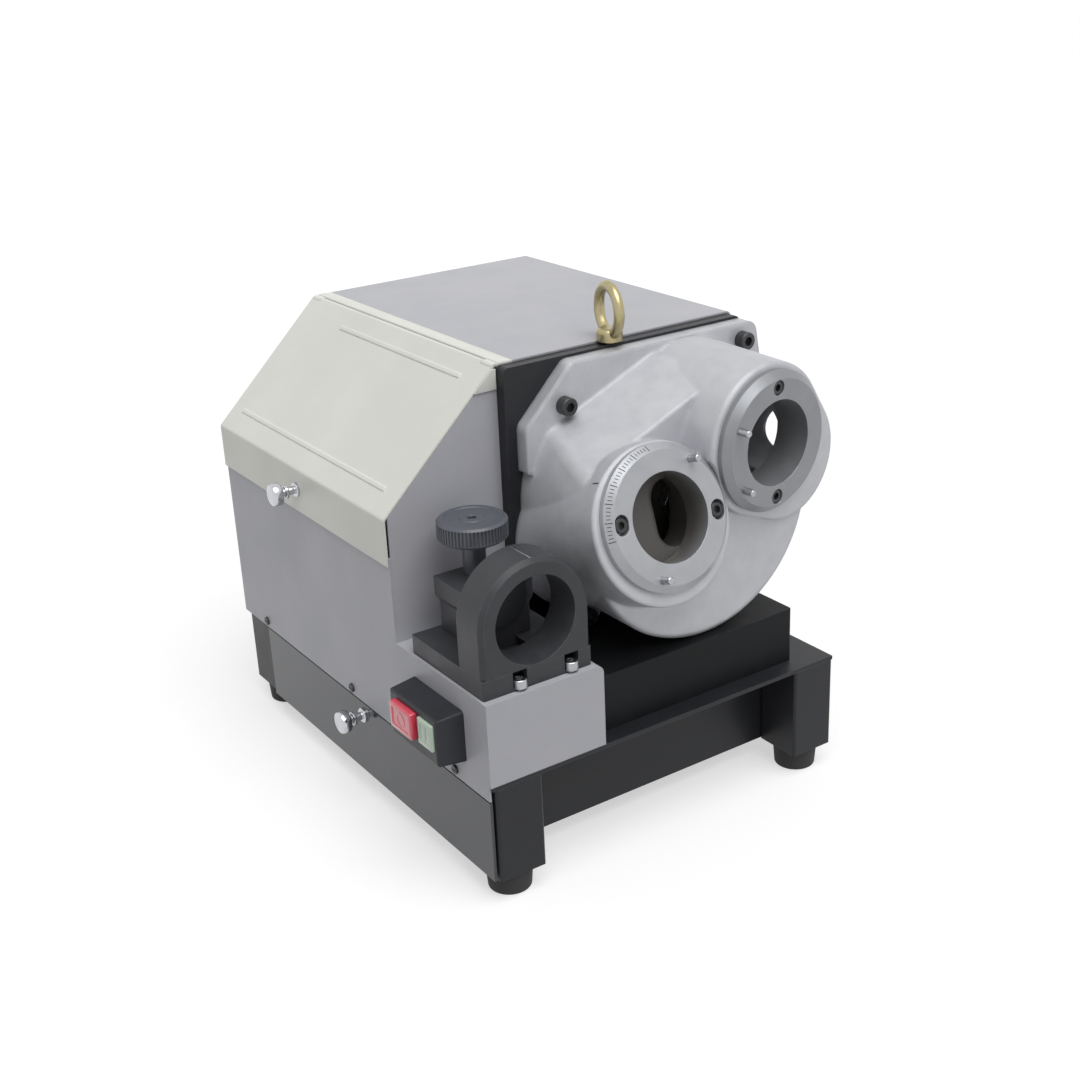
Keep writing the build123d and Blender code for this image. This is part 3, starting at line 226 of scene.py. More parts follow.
def surface(name, look):
    # Clouded colour, grain in the bump, uneven gloss, and edges lightened a little, partly as rubbed wear
    # and partly as a painted highlight
    finish, shader = newFinish(name, look)
    where = addNode(finish, "TexCoord").outputs["Object"]
    clouds = addNode(
        finish, "TexNoise",
        {"Scale": perMm(look["cloudSize"]), "Detail": 4.0, "Roughness": 0.6}, {"Vector": where},
    ).outputs[0]
    spread = addNode(
        finish, "MapRange", {"From Min": noiseSpan[0], "From Max": noiseSpan[1]}, {"Value": clouds}
    ).outputs[0]
    colour = addNode(
        finish, "Mix", {"data_type": "RGBA", 6: linear(look["colour"]), 7: linear(look["clouds"])},
        {0: spread},
    ).outputs[2]

    rounded = addNode(finish, "Bevel", {"samples": 4, "Radius": look["edge"] * mm}).outputs[0]
    trueNormal = addNode(finish, "NewGeometry").outputs["Normal"]
    bend = addNode(
        finish, "VectorMath", {"operation": "DOT_PRODUCT"}, {0: rounded, 1: trueNormal}
    ).outputs["Value"]
    # Lighter along edges and creases alike: rubbed wear together with a painted edge highlight
    wornAndLitEdges = addNode(
        finish, "MapRange",
        {"From Min": edgeSpan[0], "From Max": edgeSpan[1], "To Max": look["wornAndLitAmount"]}, {"Value": bend},
    ).outputs[0]
    patchy = addNode(finish, "Math", {"operation": "MULTIPLY"}, {0: wornAndLitEdges, 1: spread}).outputs[0]
    colour = addNode(
        finish, "Mix", {"data_type": "RGBA", 7: linear(look["wornAndLitEdges"])}, {0: patchy, 6: colour}
    ).outputs[2]
    if "innerDarkening" in look:
        # Darker brown inside a ball about this place, deep in port 1
        innerDarkening = look["innerDarkening"]
        reach = addNode(
            finish, "VectorMath", {"operation": "DISTANCE", 1: innerDarkening["centre"]}, {0: where}
        ).outputs["Value"]
        darkeningMask = addNode(
            finish, "MapRange",
            {"From Min": innerDarkening["radius"] * mm, "From Max": (innerDarkening["radius"] - innerDarkening["fade"]) * mm,
             "To Max": innerDarkening["cover"]},
            {"Value": reach},
        ).outputs[0]
        colour = addNode(
            finish, "Mix", {"data_type": "RGBA", 7: linear(innerDarkening["colour"])}, {0: darkeningMask, 6: colour}
        ).outputs[2]
    finish.node_tree.links.new(colour, shader.inputs["Base Color"])

    grain = addNode(
        finish, "TexNoise",
        {"Scale": perMm(look["grainSize"]), "Detail": 2.0, "Roughness": 0.5}, {"Vector": where},
    ).outputs[0]
    gloss = addNode(
        finish, "MapRange",
        {"From Min": noiseSpan[0], "From Max": noiseSpan[1],
         "To Min": look["roughness"][0], "To Max": look["roughness"][1]},
        {"Value": clouds},
    ).outputs[0]
    finish.node_tree.links.new(gloss, shader.inputs["Roughness"])
    bump = addNode(
        finish, "Bump", {"Strength": 1.0, "Distance": look["grainHeight"] * mm},
        {"Height": grain, "Normal": rounded},
    ).outputs[0]
    if "marks" in look:
        # Tool marks run in circles about the turned axis
        marks = look["marks"]
        turn = Vector(marks["axis"]).rotation_difference(Vector((0, 0, 1)))
        centred = addNode(
            finish, "Mapping",
            {"Rotation": turn.to_euler("XYZ"), "Location": -(turn @ marks["centre"])}, {"Vector": where},
        ).outputs[0]
        circles = addNode(
            finish, "TexWave",
            {"wave_type": "RINGS", "rings_direction": "Z", "Scale": math.pi / (10 * marks["pitch"] * mm),
             "Distortion": 0.6, "Detail": 2.0, "Detail Scale": 2.0},
            {"Vector": centred},
        ).outputs["Fac"]
        bump = addNode(
            finish, "Bump", {"Strength": marks["strength"], "Distance": marks["height"] * mm},
            {"Height": circles, "Normal": bump},
        ).outputs[0]
    finish.node_tree.links.new(bump, shader.inputs["Normal"])
    return finish


portOnePlace, portTwoPlace = portPlace(portOne), portPlace(portTwo)


def behindPort(place, depth):
    return place @ Vector((0, 0, -depth * mm))


finishLooks = {
    # Stoved grey paint on folded sheet: soft orange peel, pale where the edges are rubbed
    "greyPaint": {
        "colour": "b9b9bf", "clouds": "b4b5bb", "cloudSize": 60, "wornAndLitEdges": "d4d4d6", "wornAndLitAmount": 0.5,
        "edge": 0.7, "grainSize": 1.6, "grainHeight": 0.02, "roughness": (0.36, 0.46),
        "sockets": {"IOR": 1.5, "Specular IOR Level": 0.35},
    },
    # The same paint in ivory on the lid and along its hinge
    "ivoryPaint": {
        "colour": "ebebe4", "clouds": "e6e6df", "cloudSize": 70, "wornAndLitEdges": "f0f0ec", "wornAndLitAmount": 0.5,
        "edge": 0.8, "grainSize": 1.6, "grainHeight": 0.02, "roughness": (0.36, 0.46),
        "sockets": {"IOR": 1.5, "Specular IOR Level": 0.35},
    },
    # Black machine paint on the stand: satin, grey on the corners, partly worn and partly a painted edge
    # highlight
    "blackPaint": {
        "colour": "222326", "clouds": "27282c", "cloudSize": 40, "wornAndLitEdges": "5c5e63", "wornAndLitAmount": 0.6,
        "edge": 0.9, "grainSize": 1.4, "grainHeight": 0.03, "roughness": (0.34, 0.46),
        "sockets": {"IOR": 1.5, "Specular IOR Level": 0.3},
    },
    # Gloss enamel on the drawer front, with a clear top coat that mirrors the bench; its base colour is
    # lifted to a dark grey, a painted reflection of the pale room
    "glossBlack": {
        "colour": "414349", "clouds": "3d3f45", "cloudSize": 50, "wornAndLitEdges": "6c6d72", "wornAndLitAmount": 0.5,
        "edge": 0.6, "grainSize": 4.0, "grainHeight": 0.008, "roughness": (0.08, 0.12),
        "sockets": {"IOR": 1.45, "Specular IOR Level": 0.4, "Coat Weight": 0.15, "Coat Roughness": 0.04},
    },
    # Shot-blasted aluminium casting: its pebbled skin scatters light much as silver paint does
    "castAluminium": {
        # The pale band 4 mm wide along its edges is a painted highlight as well as wear
        "colour": "bfc0c5", "clouds": "cacbcf", "cloudSize": 14, "wornAndLitEdges": "dcdde0", "wornAndLitAmount": 0.45,
        "edge": 4.0, "grainSize": 1.3, "grainHeight": 0.07, "roughness": (0.42, 0.54),
        "sockets": {"Metallic": 0.35, "Specular IOR Level": 0.4},
        # Darker brown through port 1's bore and throat
        "innerDarkening": {"centre": behindPort(portOnePlace, 45.0), "radius": 45.0, "fade": 8.0,
                 "cover": 0.88, "colour": "3f3a32"},
        "marks": {"axis": (0, -1, 0), "centre": spot(spindle["x"], 0, spindle["z"]),
                  "pitch": 1.5, "height": 0.02, "strength": 0.35},   # drawn coarser than the feed
    },
    # Turned steel of the guide rings, with the feed marks of the lathe drawn coarse enough to see
    "turnedRingOne": {
        # The pale band along their edges is partly wear and partly a painted highlight
        "colour": "a8aaae", "clouds": "b1b3b7", "cloudSize": 18, "wornAndLitEdges": "dcdde0", "wornAndLitAmount": 0.9,
        "edge": 0.7, "grainSize": 0.9, "grainHeight": 0.01, "roughness": (0.34, 0.44),
        "sockets": {"Metallic": 0.45},
        # Darker brown inside port 1's bore
        "innerDarkening": {"centre": behindPort(portOnePlace, 22.0), "radius": 38.0, "fade": 7.0,
                 "cover": 0.75, "colour": "6a655b"},
        "marks": {"axis": portOnePlace.col[2].xyz, "centre": spot(*portOne["centre"]),
                  "pitch": 1.2, "height": 0.02, "strength": 0.4},
    },
    # Port 2's ring is the same turned steel as port 1's; its darker colour is painted shade
    "turnedRingTwoShaded": {
        "colour": "8c8e92", "clouds": "949699", "cloudSize": 18, "wornAndLitEdges": "dcdde0", "wornAndLitAmount": 0.9,
        "edge": 0.7, "grainSize": 0.9, "grainHeight": 0.01, "roughness": (0.34, 0.44),
        "sockets": {"Metallic": 0.45},
        "marks": {"axis": portTwoPlace.col[2].xyz, "centre": spot(*portTwo["centre"]),
                  "pitch": 1.2, "height": 0.02, "strength": 0.4},
    },
    # Ground steel of pins, shaft, hub and the fixture's bright screws
    "groundSteel": {
        "colour": "b4b5b8", "clouds": "9fa1a5", "cloudSize": 8, "wornAndLitEdges": "e0e1e3", "wornAndLitAmount": 0.8,
        "edge": 0.4, "grainSize": 0.7, "grainHeight": 0.008, "roughness": (0.22, 0.34),
        "sockets": {"Metallic": 1.0},
    },
    # Black oxide on the fixture's machined blocks: dark grey, bright at worn edges
    "blackOxide": {
        "colour": "36373a", "clouds": "404145", "cloudSize": 16, "wornAndLitEdges": "85878b", "wornAndLitAmount": 0.8,
        "edge": 0.8, "grainSize": 0.9, "grainHeight": 0.012, "roughness": (0.36, 0.5),
        "sockets": {"IOR": 1.5, "Specular IOR Level": 0.35},
    },
    # Oiled black screws
    "blackScrews": {
        "colour": "1d1d20", "clouds": "26272a", "cloudSize": 5, "wornAndLitEdges": "75777b", "wornAndLitAmount": 0.7,
        "edge": 0.4, "grainSize": 0.6, "grainHeight": 0.008, "roughness": (0.3, 0.42),
        "sockets": {"IOR": 1.6},
    },
    # Bright chrome on the pull knobs
    "chrome": {
        "colour": "c6c7cb", "clouds": "bfc0c5", "cloudSize": 6, "wornAndLitEdges": "eeeeef", "wornAndLitAmount": 0.4,
        "edge": 0.3, "grainSize": 2.0, "grainHeight": 0.002, "roughness": (0.07, 0.13),
        "sockets": {"Metallic": 1.0},
    },
    # Yellow passivated zinc of the lifting eye: olive with rosy clouds
    "yellowZinc": {
        "colour": "a8a173", "clouds": "b7a98c", "cloudSize": 7, "wornAndLitEdges": "d8d2b4", "wornAndLitAmount": 0.7,
        "edge": 0.6, "grainSize": 0.9, "grainHeight": 0.02, "roughness": (0.28, 0.42),
        "sockets": {"Metallic": 1.0},
    },
    # Black painted cast iron of the riser: matt, lightly pitted
    "blackIron": {
        "colour": "17181a", "clouds": "1e1f21", "cloudSize": 24, "wornAndLitEdges": "505256", "wornAndLitAmount": 0.6,
        "edge": 1.2, "grainSize": 1.8, "grainHeight": 0.06, "roughness": (0.45, 0.58),
        "sockets": {"IOR": 1.5, "Specular IOR Level": 0.15},
    },
    # Matt rubber of the feet, dusty round the sides
    "rubber": {
        "colour": "2a2a2c", "clouds": "38383a", "cloudSize": 9, "wornAndLitEdges": "4c4c4e", "wornAndLitAmount": 0.5,
        "edge": 0.8, "grainSize": 0.8, "grainHeight": 0.02, "roughness": (0.7, 0.85),
        "sockets": {"IOR": 1.52},
    },
    # Moulded black plastic, its spark grain drawn coarser than it is
    "blackPlastic": {
        "colour": "26282d", "clouds": "2a2c32", "cloudSize": 20, "wornAndLitEdges": "5c5f66", "wornAndLitAmount": 0.6,
        "edge": 0.7, "grainSize": 0.7, "grainHeight": 0.015, "roughness": (0.34, 0.44),
        "sockets": {"IOR": 1.5, "Specular IOR Level": 0.35},
    },
    # Moulded knob, its colour lifted to a mid grey as a painted highlight of its lit top
    "knobPlastic": {
        "colour": "53565e", "clouds": "5b5e66", "cloudSize": 12, "wornAndLitEdges": "7c7f87", "wornAndLitAmount": 0.7,
        "edge": 0.7, "grainSize": 0.7, "grainHeight": 0.012, "roughness": (0.3, 0.42),
        "sockets": {"IOR": 1.5},
    },
    # Glossy push buttons
    "redPlastic": {
        "colour": "e4455b", "clouds": "dd3f56", "cloudSize": 10, "wornAndLitEdges": "f0909a", "wornAndLitAmount": 0.5,
        "edge": 0.6, "grainSize": 1.2, "grainHeight": 0.004, "roughness": (0.14, 0.22),
        "sockets": {"IOR": 1.5, "Coat Weight": 1.0, "Coat Roughness": 0.06},
    },
    "greenPlastic": {
        "colour": "b9cdb9", "clouds": "b0c6b1", "cloudSize": 10, "wornAndLitEdges": "dbe6da", "wornAndLitAmount": 0.5,
        "edge": 0.6, "grainSize": 1.2, "grainHeight": 0.004, "roughness": (0.14, 0.22),
        "sockets": {"IOR": 1.5, "Coat Weight": 0.6, "Coat Roughness": 0.06},
    },
    # Die-cast motor shells
    "dieCast": {
        "colour": "8f9196", "clouds": "9a9ca0", "cloudSize": 12, "wornAndLitEdges": "c2c3c6", "wornAndLitAmount": 0.6,
        "edge": 0.8, "grainSize": 1.0, "grainHeight": 0.03, "roughness": (0.4, 0.52),
        "sockets": {"Metallic": 1.0},
    },
    # Wheel body, dark brown-grey
    "darkWheelBody": {
        "colour": "35312b", "clouds": "2a2722", "cloudSize": 9, "wornAndLitEdges": "5a544b", "wornAndLitAmount": 0.3,
        "edge": 0.8, "grainSize": 1.0, "grainHeight": 0.04, "roughness": (0.6, 0.75),
        "sockets": {"IOR": 1.45, "Specular IOR Level": 0.25},
    },
    # Stacked core sheets
    "coreSheets": {
        "colour": "55585c", "clouds": "4a4c50", "cloudSize": 6, "wornAndLitEdges": "86898d", "wornAndLitAmount": 0.5,
        "edge": 0.5, "grainSize": 0.6, "grainHeight": 0.02, "roughness": (0.42, 0.55),
        "sockets": {"Metallic": 0.8},
    },
    # Bonded grit of the wheel's rim
    "bondedGrit": {
        "colour": "8a7f70", "clouds": "9c9284", "cloudSize": 3, "wornAndLitEdges": "b5ab9c", "wornAndLitAmount": 0.4,
        "edge": 0.5, "grainSize": 0.5, "grainHeight": 0.12, "roughness": (0.8, 0.95),
        "sockets": {"IOR": 1.6},
    },
    # Filled engraving of the graduations
    "darkInk": {
        "colour": "1a1b1d", "clouds": "242527", "cloudSize": 2, "wornAndLitEdges": "404144", "wornAndLitAmount": 0.3,
        "edge": 0.1, "grainSize": 0.4, "grainHeight": 0.004, "roughness": (0.5, 0.62),
        "sockets": {"IOR": 1.5},
    },
}
finishes = {name: surface(name, look) for name, look in finishLooks.items()}
print("finishes made:", len(finishes))

# Record slots to finishes, and the nodes that differ from their slot
slotFinish = {
    "grey_paint": "greyPaint", "ivory_paint": "ivoryPaint", "black_paint": "blackPaint",
    "gloss_black": "glossBlack", "cast_aluminium": "castAluminium", "machined_steel": "groundSteel",
    "black_steel": "blackScrews", "chrome": "chrome", "zinc": "yellowZinc", "cast_iron_black": "blackIron",
    "rubber": "rubber", "black_plastic": "blackPlastic", "red_plastic": "redPlastic",
    "green_plastic": "greenPlastic", "motor_metal": "dieCast", "core_steel": "coreSheets",
    "abrasive": "bondedGrit",
}
nodeFinish = {
    "port_1_ring": "turnedRingOne", "port_2_ring": "turnedRingTwoShaded", "wheel_body": "darkWheelBody",
    "setting_base": "blackOxide", "setting_block": "blackOxide", "stop_slide": "blackOxide",
    "hinge_leaf": "ivoryPaint",
}
for row in frame["record"]["subparts"]:
    node = frame["nodes"][row["node"]]
    chosen = finishes[nodeFinish.get(row["node"], slotFinish[row["material_slot"]])]
    for place in node.material_slots:
        place.material = chosen
print("solids painted")

# Two swaged beads along the lid's slope
slopeBeads = {
    "cornerX": -1.8, "cornerZ": 242.0, "angle": 43.867, "width": 4.0, "height": 1.8, "sunk": 1.0,
    "edge": 0.88, "edgeSteps": 5,
    "runs": (
        {"along": 112.0, "front": 139.0, "back": 315.0},
        {"along": 19.1, "front": 134.0, "back": 365.0},
    ),
}


def makeSlopeBeads():
    look = slopeBeads
    rise = math.radians(look["angle"])
    upSlope = Vector((math.cos(rise), 0, math.sin(rise)))
    outward = Vector((-math.sin(rise), 0, math.cos(rise)))
    beads = []
    for run in look["runs"]:
        size = (run["back"] - run["front"], look["width"], look["height"])
        bead = boxed("bead", size, look["edge"], look["edgeSteps"])
        middle = spot(look["cornerX"], (run["front"] + run["back"]) / 2, look["cornerZ"])
        lift = (look["height"] / 2 - look["sunk"]) * mm
        middle += upSlope * run["along"] * mm + outward * lift
        settle(bead, axes(Vector((0, -1, 0)), upSlope, outward, middle))
        beads.append(bead)
    finishPiece(joined("slope_beads", beads), finishes["ivoryPaint"], "lid")


makeSlopeBeads()

# Ivory cover strip along the hinge, and the small gusset at the lid's front upper corner
lidTrim = {
    "strip": {"left": 94.4, "right": 101.4, "inset": 1.0, "thick": 0.9, "sunk": 0.3, "edge": 0.4},
    "gusset": {"left": 70.0, "right": 91.5, "bottom": 313.5, "top": 327.8, "thick": 1.1, "gap": 0.15,
               "under": 0.4, "edge": 0.2},
}


def makeLidTrim():
    low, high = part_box("hinge_leaf")
    look = lidTrim["strip"]
    length = (high[1] - low[1]) / mm - 2 * look["inset"]
    strip = boxed("hinge_strip", (look["right"] - look["left"], length, look["thick"]), look["edge"])
    middle = spot((look["left"] + look["right"]) / 2, 0, 0)
    middle.y = (low[1] + high[1]) / 2
    middle.z = high[2] + (look["thick"] / 2 - look["sunk"]) * mm
    settle(strip, Matrix.Translation(middle))
    finishPiece(strip, finishes["ivoryPaint"], "frame")

    look = lidTrim["gusset"]
    size = (look["right"] - look["left"], look["thick"], look["top"] - look["bottom"])
    gusset = boxed("lid_gusset", size, look["edge"])
    middle = spot((look["left"] + look["right"]) / 2, 0, (look["bottom"] + look["top"]) / 2)
    middle.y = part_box("lid")[0][1] - (look["gap"] + look["thick"] / 2) * mm
    settle(gusset, Matrix.Translation(middle))
    rise = math.radians(slopeBeads["angle"])
    outward = Vector((-math.sin(rise), 0, math.cos(rise)))
    onSlope = spot(slopeBeads["cornerX"], 0, slopeBeads["cornerZ"]) - outward * look["under"] * mm
    openMesh(gusset)
    bpy.ops.mesh.select_all(action="SELECT")
    bpy.ops.mesh.bisect(plane_co=onSlope, plane_no=outward, use_fill=True, clear_outer=True)
    closeMesh()
    finishPiece(gusset, finishes["ivoryPaint"], "lid")


makeLidTrim()

# Turned pull knobs of the lid and the drawer, from the seat outwards
pullKnobs = {
    "profile": (
        (0.0, 5.6), (1.6, 5.6), (2.2, 5.0), (2.2, 3.1), (7.4, 2.9), (7.6, 4.6), (8.2, 5.1), (9.8, 5.1),
        (10.4, 4.6), (10.6, 3.3), (12.6, 3.3), (13.0, 6.6), (13.6, 7.9), (14.6, 8.5), (18.8, 8.5),
        (20.2, 7.9), (20.9, 6.4), (21.0, 4.0), (20.8, 0.3),
    ),
    "sides": 48, "lid": (-1.8, 248.0, 226.0), "drawer": (0.0, 176.0, 69.0),
}


def makePullKnobs():
    look = pullKnobs
    for body, node in (("lid", "lid_knob"), ("drawer", "drawer_knob")):
        knob = turned(body + "_pull", look["profile"], look["sides"])
        seat = spot(*look[body])
        settle(knob, axes(Vector((0, -1, 0)), Vector((0, 0, 1)), Vector((-1, 0, 0)), seat))
        finishPiece(knob, finishes["chrome"], body, (node,))


makePullKnobs()

# Clamp knob over the stop slide, with a straight knurl round its edge
clampKnob = {
    "x": 46.0, "y": 80.0, "bottom": 229.0, "radius": 24.0, "flutes": 60, "fluteDepth": 0.9,
    "fluteInset": 0.15, "edgeBand": 0.5,
    "profile": (
        (-26.0, 7.9), (-3.0, 7.9), (-2.6, 10.0), (0.0, 10.4), (0.0, 22.4), (1.6, 24.0), (12.4, 24.0),
        (14.0, 22.2), (14.0, 19.0), (13.4, 18.4), (13.4, 8.6), (14.0, 8.0), (14.0, 3.4), (13.6, 3.0),
        (11.6, 3.0), (11.6, 0.3),
    ),
}


def makeClampKnob():
    look = clampKnob
    knob = turned("clamp_knob", look["profile"], 2 * look["flutes"])
    openMesh(knob)
    facet = math.pi / look["flutes"]

    def everyOther(face):
        centre = face.calc_center_median()
        outside = centre.xy.length > (look["radius"] - look["edgeBand"]) * mm
        upright = abs(face.normal.z) < 0.1
        number = int((math.atan2(centre.y, centre.x) + math.pi) / facet)
        return upright and outside and number % 2 == 0

    selectFaces(knob, everyOther)
    bpy.ops.mesh.inset(thickness=look["fluteInset"] * mm, use_individual=True)
    bpy.ops.transform.shrink_fatten(value=-look["fluteDepth"] * mm)
    closeMesh()
    settle(knob, Matrix.Translation(spot(look["x"], look["y"], look["bottom"])))
    finishPiece(knob, finishes["knobPlastic"], "lock_knob", ("lock_knob",))


makeClampKnob()

# Push buttons: dished caps with a moulded ring and bar
pushButtons = {
    "stop_button": {
        "front": -25.0, "y": 70.0, "size": (11.0, 28.0, 19.5),
        "finish": "redPlastic", "slot": "red_plastic",
    },
    "start_button": {
        "front": -22.0, "y": 43.2, "size": (8.0, 18.6, 19.5),
        "finish": "greenPlastic", "slot": "green_plastic",
    },
    "height": 119.5, "edge": 1.2, "edgeSteps": 4, "rim": 2.0, "dish": 0.7, "dishSlope": 0.6,
    "ringRadius": 4.6, "wire": 0.7, "ringFlatness": 0.6, "bar": (1.0, 1.6, 9.0), "barEdge": 0.4,
}


def makePushButtons():
    look = pushButtons
    for name in ("stop_button", "start_button"):
        button = look[name]
        cap = boxed(name + "_cap", button["size"], look["edge"], look["edgeSteps"])
        openMesh(cap)
        selectFaces(cap, lambda face: face.normal.x < -0.99)
        bpy.ops.mesh.inset(thickness=look["rim"] * mm)
        bpy.ops.mesh.inset(thickness=look["dishSlope"] * mm)
        bpy.ops.transform.translate(value=(look["dish"] * mm, 0, 0))
        closeMesh()
        middle = spot(button["front"] + button["size"][0] / 2, button["y"], look["height"])
        settle(cap, Matrix.Translation(middle))
        face = spot(button["front"] + look["dish"], button["y"], look["height"])
        pickOnly()
        if name == "stop_button":
            bpy.ops.mesh.primitive_torus_add(
                major_radius=look["ringRadius"] * mm, minor_radius=look["wire"] * mm,
                major_segments=40, minor_segments=10, location=(0, 0, 0),
            )
            mark = bpy.context.object
            openMesh(mark)
            bpy.ops.mesh.select_all(action="SELECT")
            bpy.ops.transform.resize(value=(1, 1, look["ringFlatness"]))
            closeMesh()
            settle(mark, axes(Vector((0, 0, 1)), Vector((0, 1, 0)), Vector((-1, 0, 0)), face))
        else:
            mark = boxed("bar", look["bar"], look["barEdge"])
            settle(mark, Matrix.Translation(face))
        whole = joined(name + "_cap", [cap, mark])
        finishPiece(whole, finishes[button["finish"]], name, (name,))


makePushButtons()

# Graduations on the bevel of port 1, and the index line on its boss
ringScale = {
    "radius": 47.5, "back": 2.5, "first": 96.0, "step": 3.0, "count": 31, "longEvery": 5,
    "short": (3.0, 0.45, 0.2), "long": (5.2, 0.55, 0.2), "index": (7.0, 0.9, 0.2), "indexAngle": 141.0,
    "bossRadius": 52.9, "indexBack": 16.0, "edge": 0.06, "edgeSteps": 2,
}


def makeRingScale():
    look = ringScale
    masters = {
        size: boxed(size + "_tick", look[size], look["edge"], look["edgeSteps"])
        for size in ("short", "long", "index")
    }
    ticks = []
    for number in range(look["count"]):
        angle = math.radians(look["first"] + number * look["step"])
        radial = Vector((math.cos(angle), math.sin(angle), 0))
        along = Vector((-math.sin(angle), math.cos(angle), 0))
        outward = (radial + Vector((0, 0, 1))).normalized()
        place = radial * look["radius"] * mm - Vector((0, 0, look["back"])) * mm
        size = "long" if number % look["longEvery"] == 0 else "short"
        downBevel = (radial - Vector((0, 0, 1))).normalized()
        ticks.append(twin(masters[size], portOnePlace @ axes(downBevel, along, outward, place)))
    scale = joined("port_1_scale", ticks)
    finishPiece(scale, finishes["darkInk"], "port_1_ring")
    angle = math.radians(look["indexAngle"])
    radial = Vector((math.cos(angle), math.sin(angle), 0))
    place = radial * look["bossRadius"] * mm - Vector((0, 0, look["indexBack"])) * mm
    along = Vector((-math.sin(angle), math.cos(angle), 0))
    index = twin(masters["index"], portOnePlace @ axes(Vector((0, 0, 1)), -along, radial, place))
    index.name = "port_1_index"
    finishPiece(index, finishes["darkInk"], "frame")
    for tick in masters.values():
        bpy.data.objects.remove(tick)


makeRingScale()

# Scribed centre line on the barrel of the setting block
centreLine = {"x": 44.0, "y": 19.0, "size": (0.8, 22.0, 0.3), "sunk": 0.18, "edge": 0.08, "edgeSteps": 2}


def makeCentreLine():
    look = centreLine
    line = boxed("setting_line", look["size"], look["edge"], look["edgeSteps"])
    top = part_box("setting_block")[1][2]
    place = spot(look["x"], look["y"], 0)
    place.z = top + (look["size"][2] / 2 - look["sunk"]) * mm
    settle(line, Matrix.Translation(place))
    finishPiece(line, finishes["groundSteel"], "frame")


makeCentreLine()

# Cross-head screws that hold the hood at its right side and back
hoodScrews = {
    "profile": ((-1.0, 2.0), (0.0, 2.0), (0.0, 3.6), (0.9, 3.5), (1.6, 2.8), (2.0, 1.6), (2.1, 0.3)),
    "sides": 32, "slot": (4.4, 0.95, 1.6), "slotHeight": 2.0, "slotEdge": 0.2, "slotSteps": 2,
    "side": 298.5, "sideSpots": ((136.0, 99.0), (248.0, 99.0), (360.0, 99.0)),
    "backSpots": (
        (12.0, 102.0), (150.0, 102.0), (288.0, 102.0), (288.0, 318.0), (104.0, 318.0), (12.0, 196.0),
    ),
}


def makeHoodScrews():
    look = hoodScrews
    screw = turned("screw", look["profile"], look["sides"])
    height = Matrix.Translation((0, 0, look["slotHeight"] * mm))
    for quarter in (0, 1):
        cutter = boxed("cutter", look["slot"], look["slotEdge"], look["slotSteps"])
        settle(cutter, height @ Matrix.Rotation(math.pi / 2 * quarter, 4, "Z"))
        groove = screw.modifiers.new("groove", "BOOLEAN")
        groove.object = cutter
        groove.solver = "EXACT"
        applyAll(screw)
        bpy.data.objects.remove(cutter)
    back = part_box("rear_panel")[1].y
    towardsRight = Vector((0, 1, 0)), Vector((0, 0, 1)), Vector((1, 0, 0))
    towardsBack = Vector((-1, 0, 0)), Vector((0, 0, 1)), Vector((0, 1, 0))
    screws = []
    for y, z in look["sideSpots"]:
        screws.append(twin(screw, axes(*towardsRight, spot(look["side"], y, z))))
    for x, z in look["backSpots"]:
        head = spot(x, 0, z)
        head.y = back
        screws.append(twin(screw, axes(*towardsBack, head)))
    bpy.data.objects.remove(screw)
    finishPiece(joined("hood_screws", screws), finishes["blackScrews"], "frame")


makeHoodScrews()
print("pieces made")

# Stage: pale floor, one wide soft lamp overhead, and a pale room
stageLook = {
    "floorSize": 8.0, "floorColour": "bcbcbc", "floorRoughness": 0.9, "floorGlow": 0.56, "roomLight": 0.3,
    "sunStrength": 2.1, "sunSpread": 50.0, "sunFrom": (-0.04, -0.4, 0.92),
    "lens": 51.37, "sensor": 36.0, "nearest": 0.01, "camera": (-433.6, -735.0, 616.6),
    "azimuth": -33.16, "elevation": 22.55, "roll": -2.68,
}


def seenDirectly(material):
    # 1 where the camera, a mirror or glass looks at it, and 0 where it only gives light
    rays = addNode(material, "LightPath")
    both = addNode(
        material, "Math", {"operation": "MAXIMUM"},
        {0: rays.outputs["Is Camera Ray"], 1: rays.outputs["Is Glossy Ray"]},
    )
    return addNode(
        material, "Math", {"operation": "MAXIMUM"},
        {0: both.outputs[0], 1: rays.outputs["Is Transmission Ray"]},
    ).outputs[0]


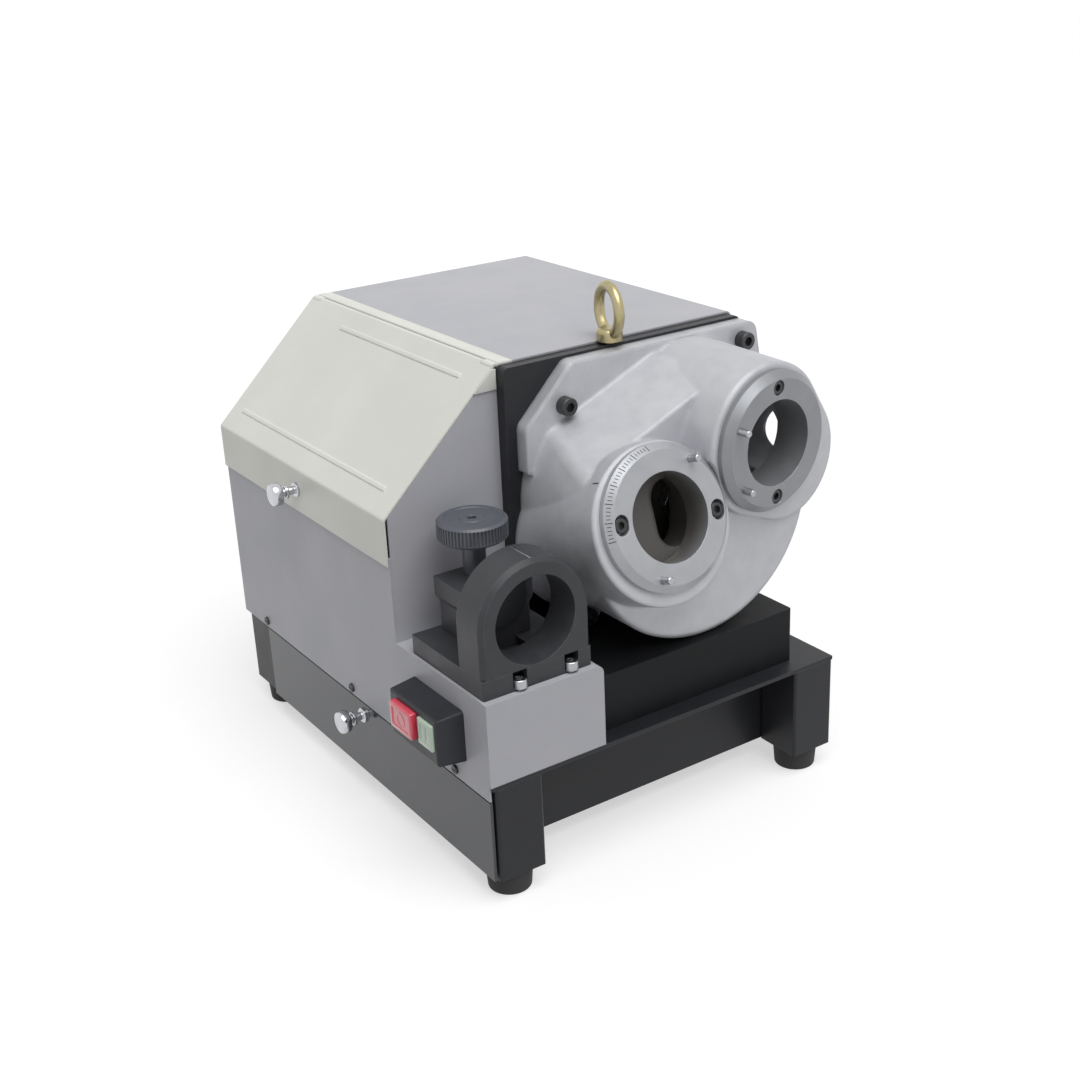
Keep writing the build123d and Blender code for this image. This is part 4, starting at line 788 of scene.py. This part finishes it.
def makeStage():
    look = stageLook
    pickOnly()
    bpy.ops.mesh.primitive_plane_add(size=look["floorSize"], location=(0, 0, 0))
    floor = bpy.context.object
    floor.name = "floor"
    paint, shader = newFinish("paleFloor", {
        "sockets": {"Base Color": linear(look["floorColour"]), "Roughness": look["floorRoughness"]},
    })
    glow = addNode(
        paint, "Math", {"operation": "MULTIPLY", 1: look["floorGlow"]}, {0: seenDirectly(paint)}
    )
    shader.inputs["Emission Color"].default_value = (1, 1, 1, 1)
    paint.node_tree.links.new(glow.outputs[0], shader.inputs["Emission Strength"])
    floor.data.materials.append(paint)

    room = bpy.data.worlds.new("paleRoom")
    bpy.context.scene.world = room
    room.use_nodes = True
    background = room.node_tree.nodes["Background"]
    strength = addNode(
        room, "MapRange", {"To Min": look["roomLight"], "To Max": 1.0}, {"Value": seenDirectly(room)}
    )
    background.inputs["Color"].default_value = (1, 1, 1, 1)
    room.node_tree.links.new(strength.outputs[0], background.inputs["Strength"])

    lamp = bpy.data.lights.new("overheadLamp", "SUN")
    lamp.energy = look["sunStrength"]
    lamp.angle = math.radians(look["sunSpread"])
    sun = bpy.data.objects.new("overheadLamp", lamp)
    bpy.context.scene.collection.objects.link(sun)
    sun.rotation_euler = Vector(look["sunFrom"]).to_track_quat("Z", "Y").to_euler()

    azimuth, elevation, roll = (math.radians(look[key]) for key in ("azimuth", "elevation", "roll"))
    level = math.cos(elevation)
    back = Vector((math.sin(azimuth) * level, -math.cos(azimuth) * level, math.sin(elevation)))
    right = Vector((math.cos(azimuth), math.sin(azimuth), 0))
    up = back.cross(right)
    tiltedRight = right * math.cos(roll) + up * math.sin(roll)
    tiltedUp = up * math.cos(roll) - right * math.sin(roll)
    view = bpy.data.cameras.new("photoView")
    view.lens = look["lens"]
    view.sensor_width = look["sensor"]
    view.clip_start = look["nearest"]
    camera = bpy.data.objects.new("photoView", view)
    bpy.context.scene.collection.objects.link(camera)
    camera.matrix_world = axes(tiltedRight, tiltedUp, back, spot(*look["camera"]))
    bpy.context.scene.camera = camera
    bpy.context.scene.view_settings.view_transform = "Standard"


makeStage()
print("stage set")
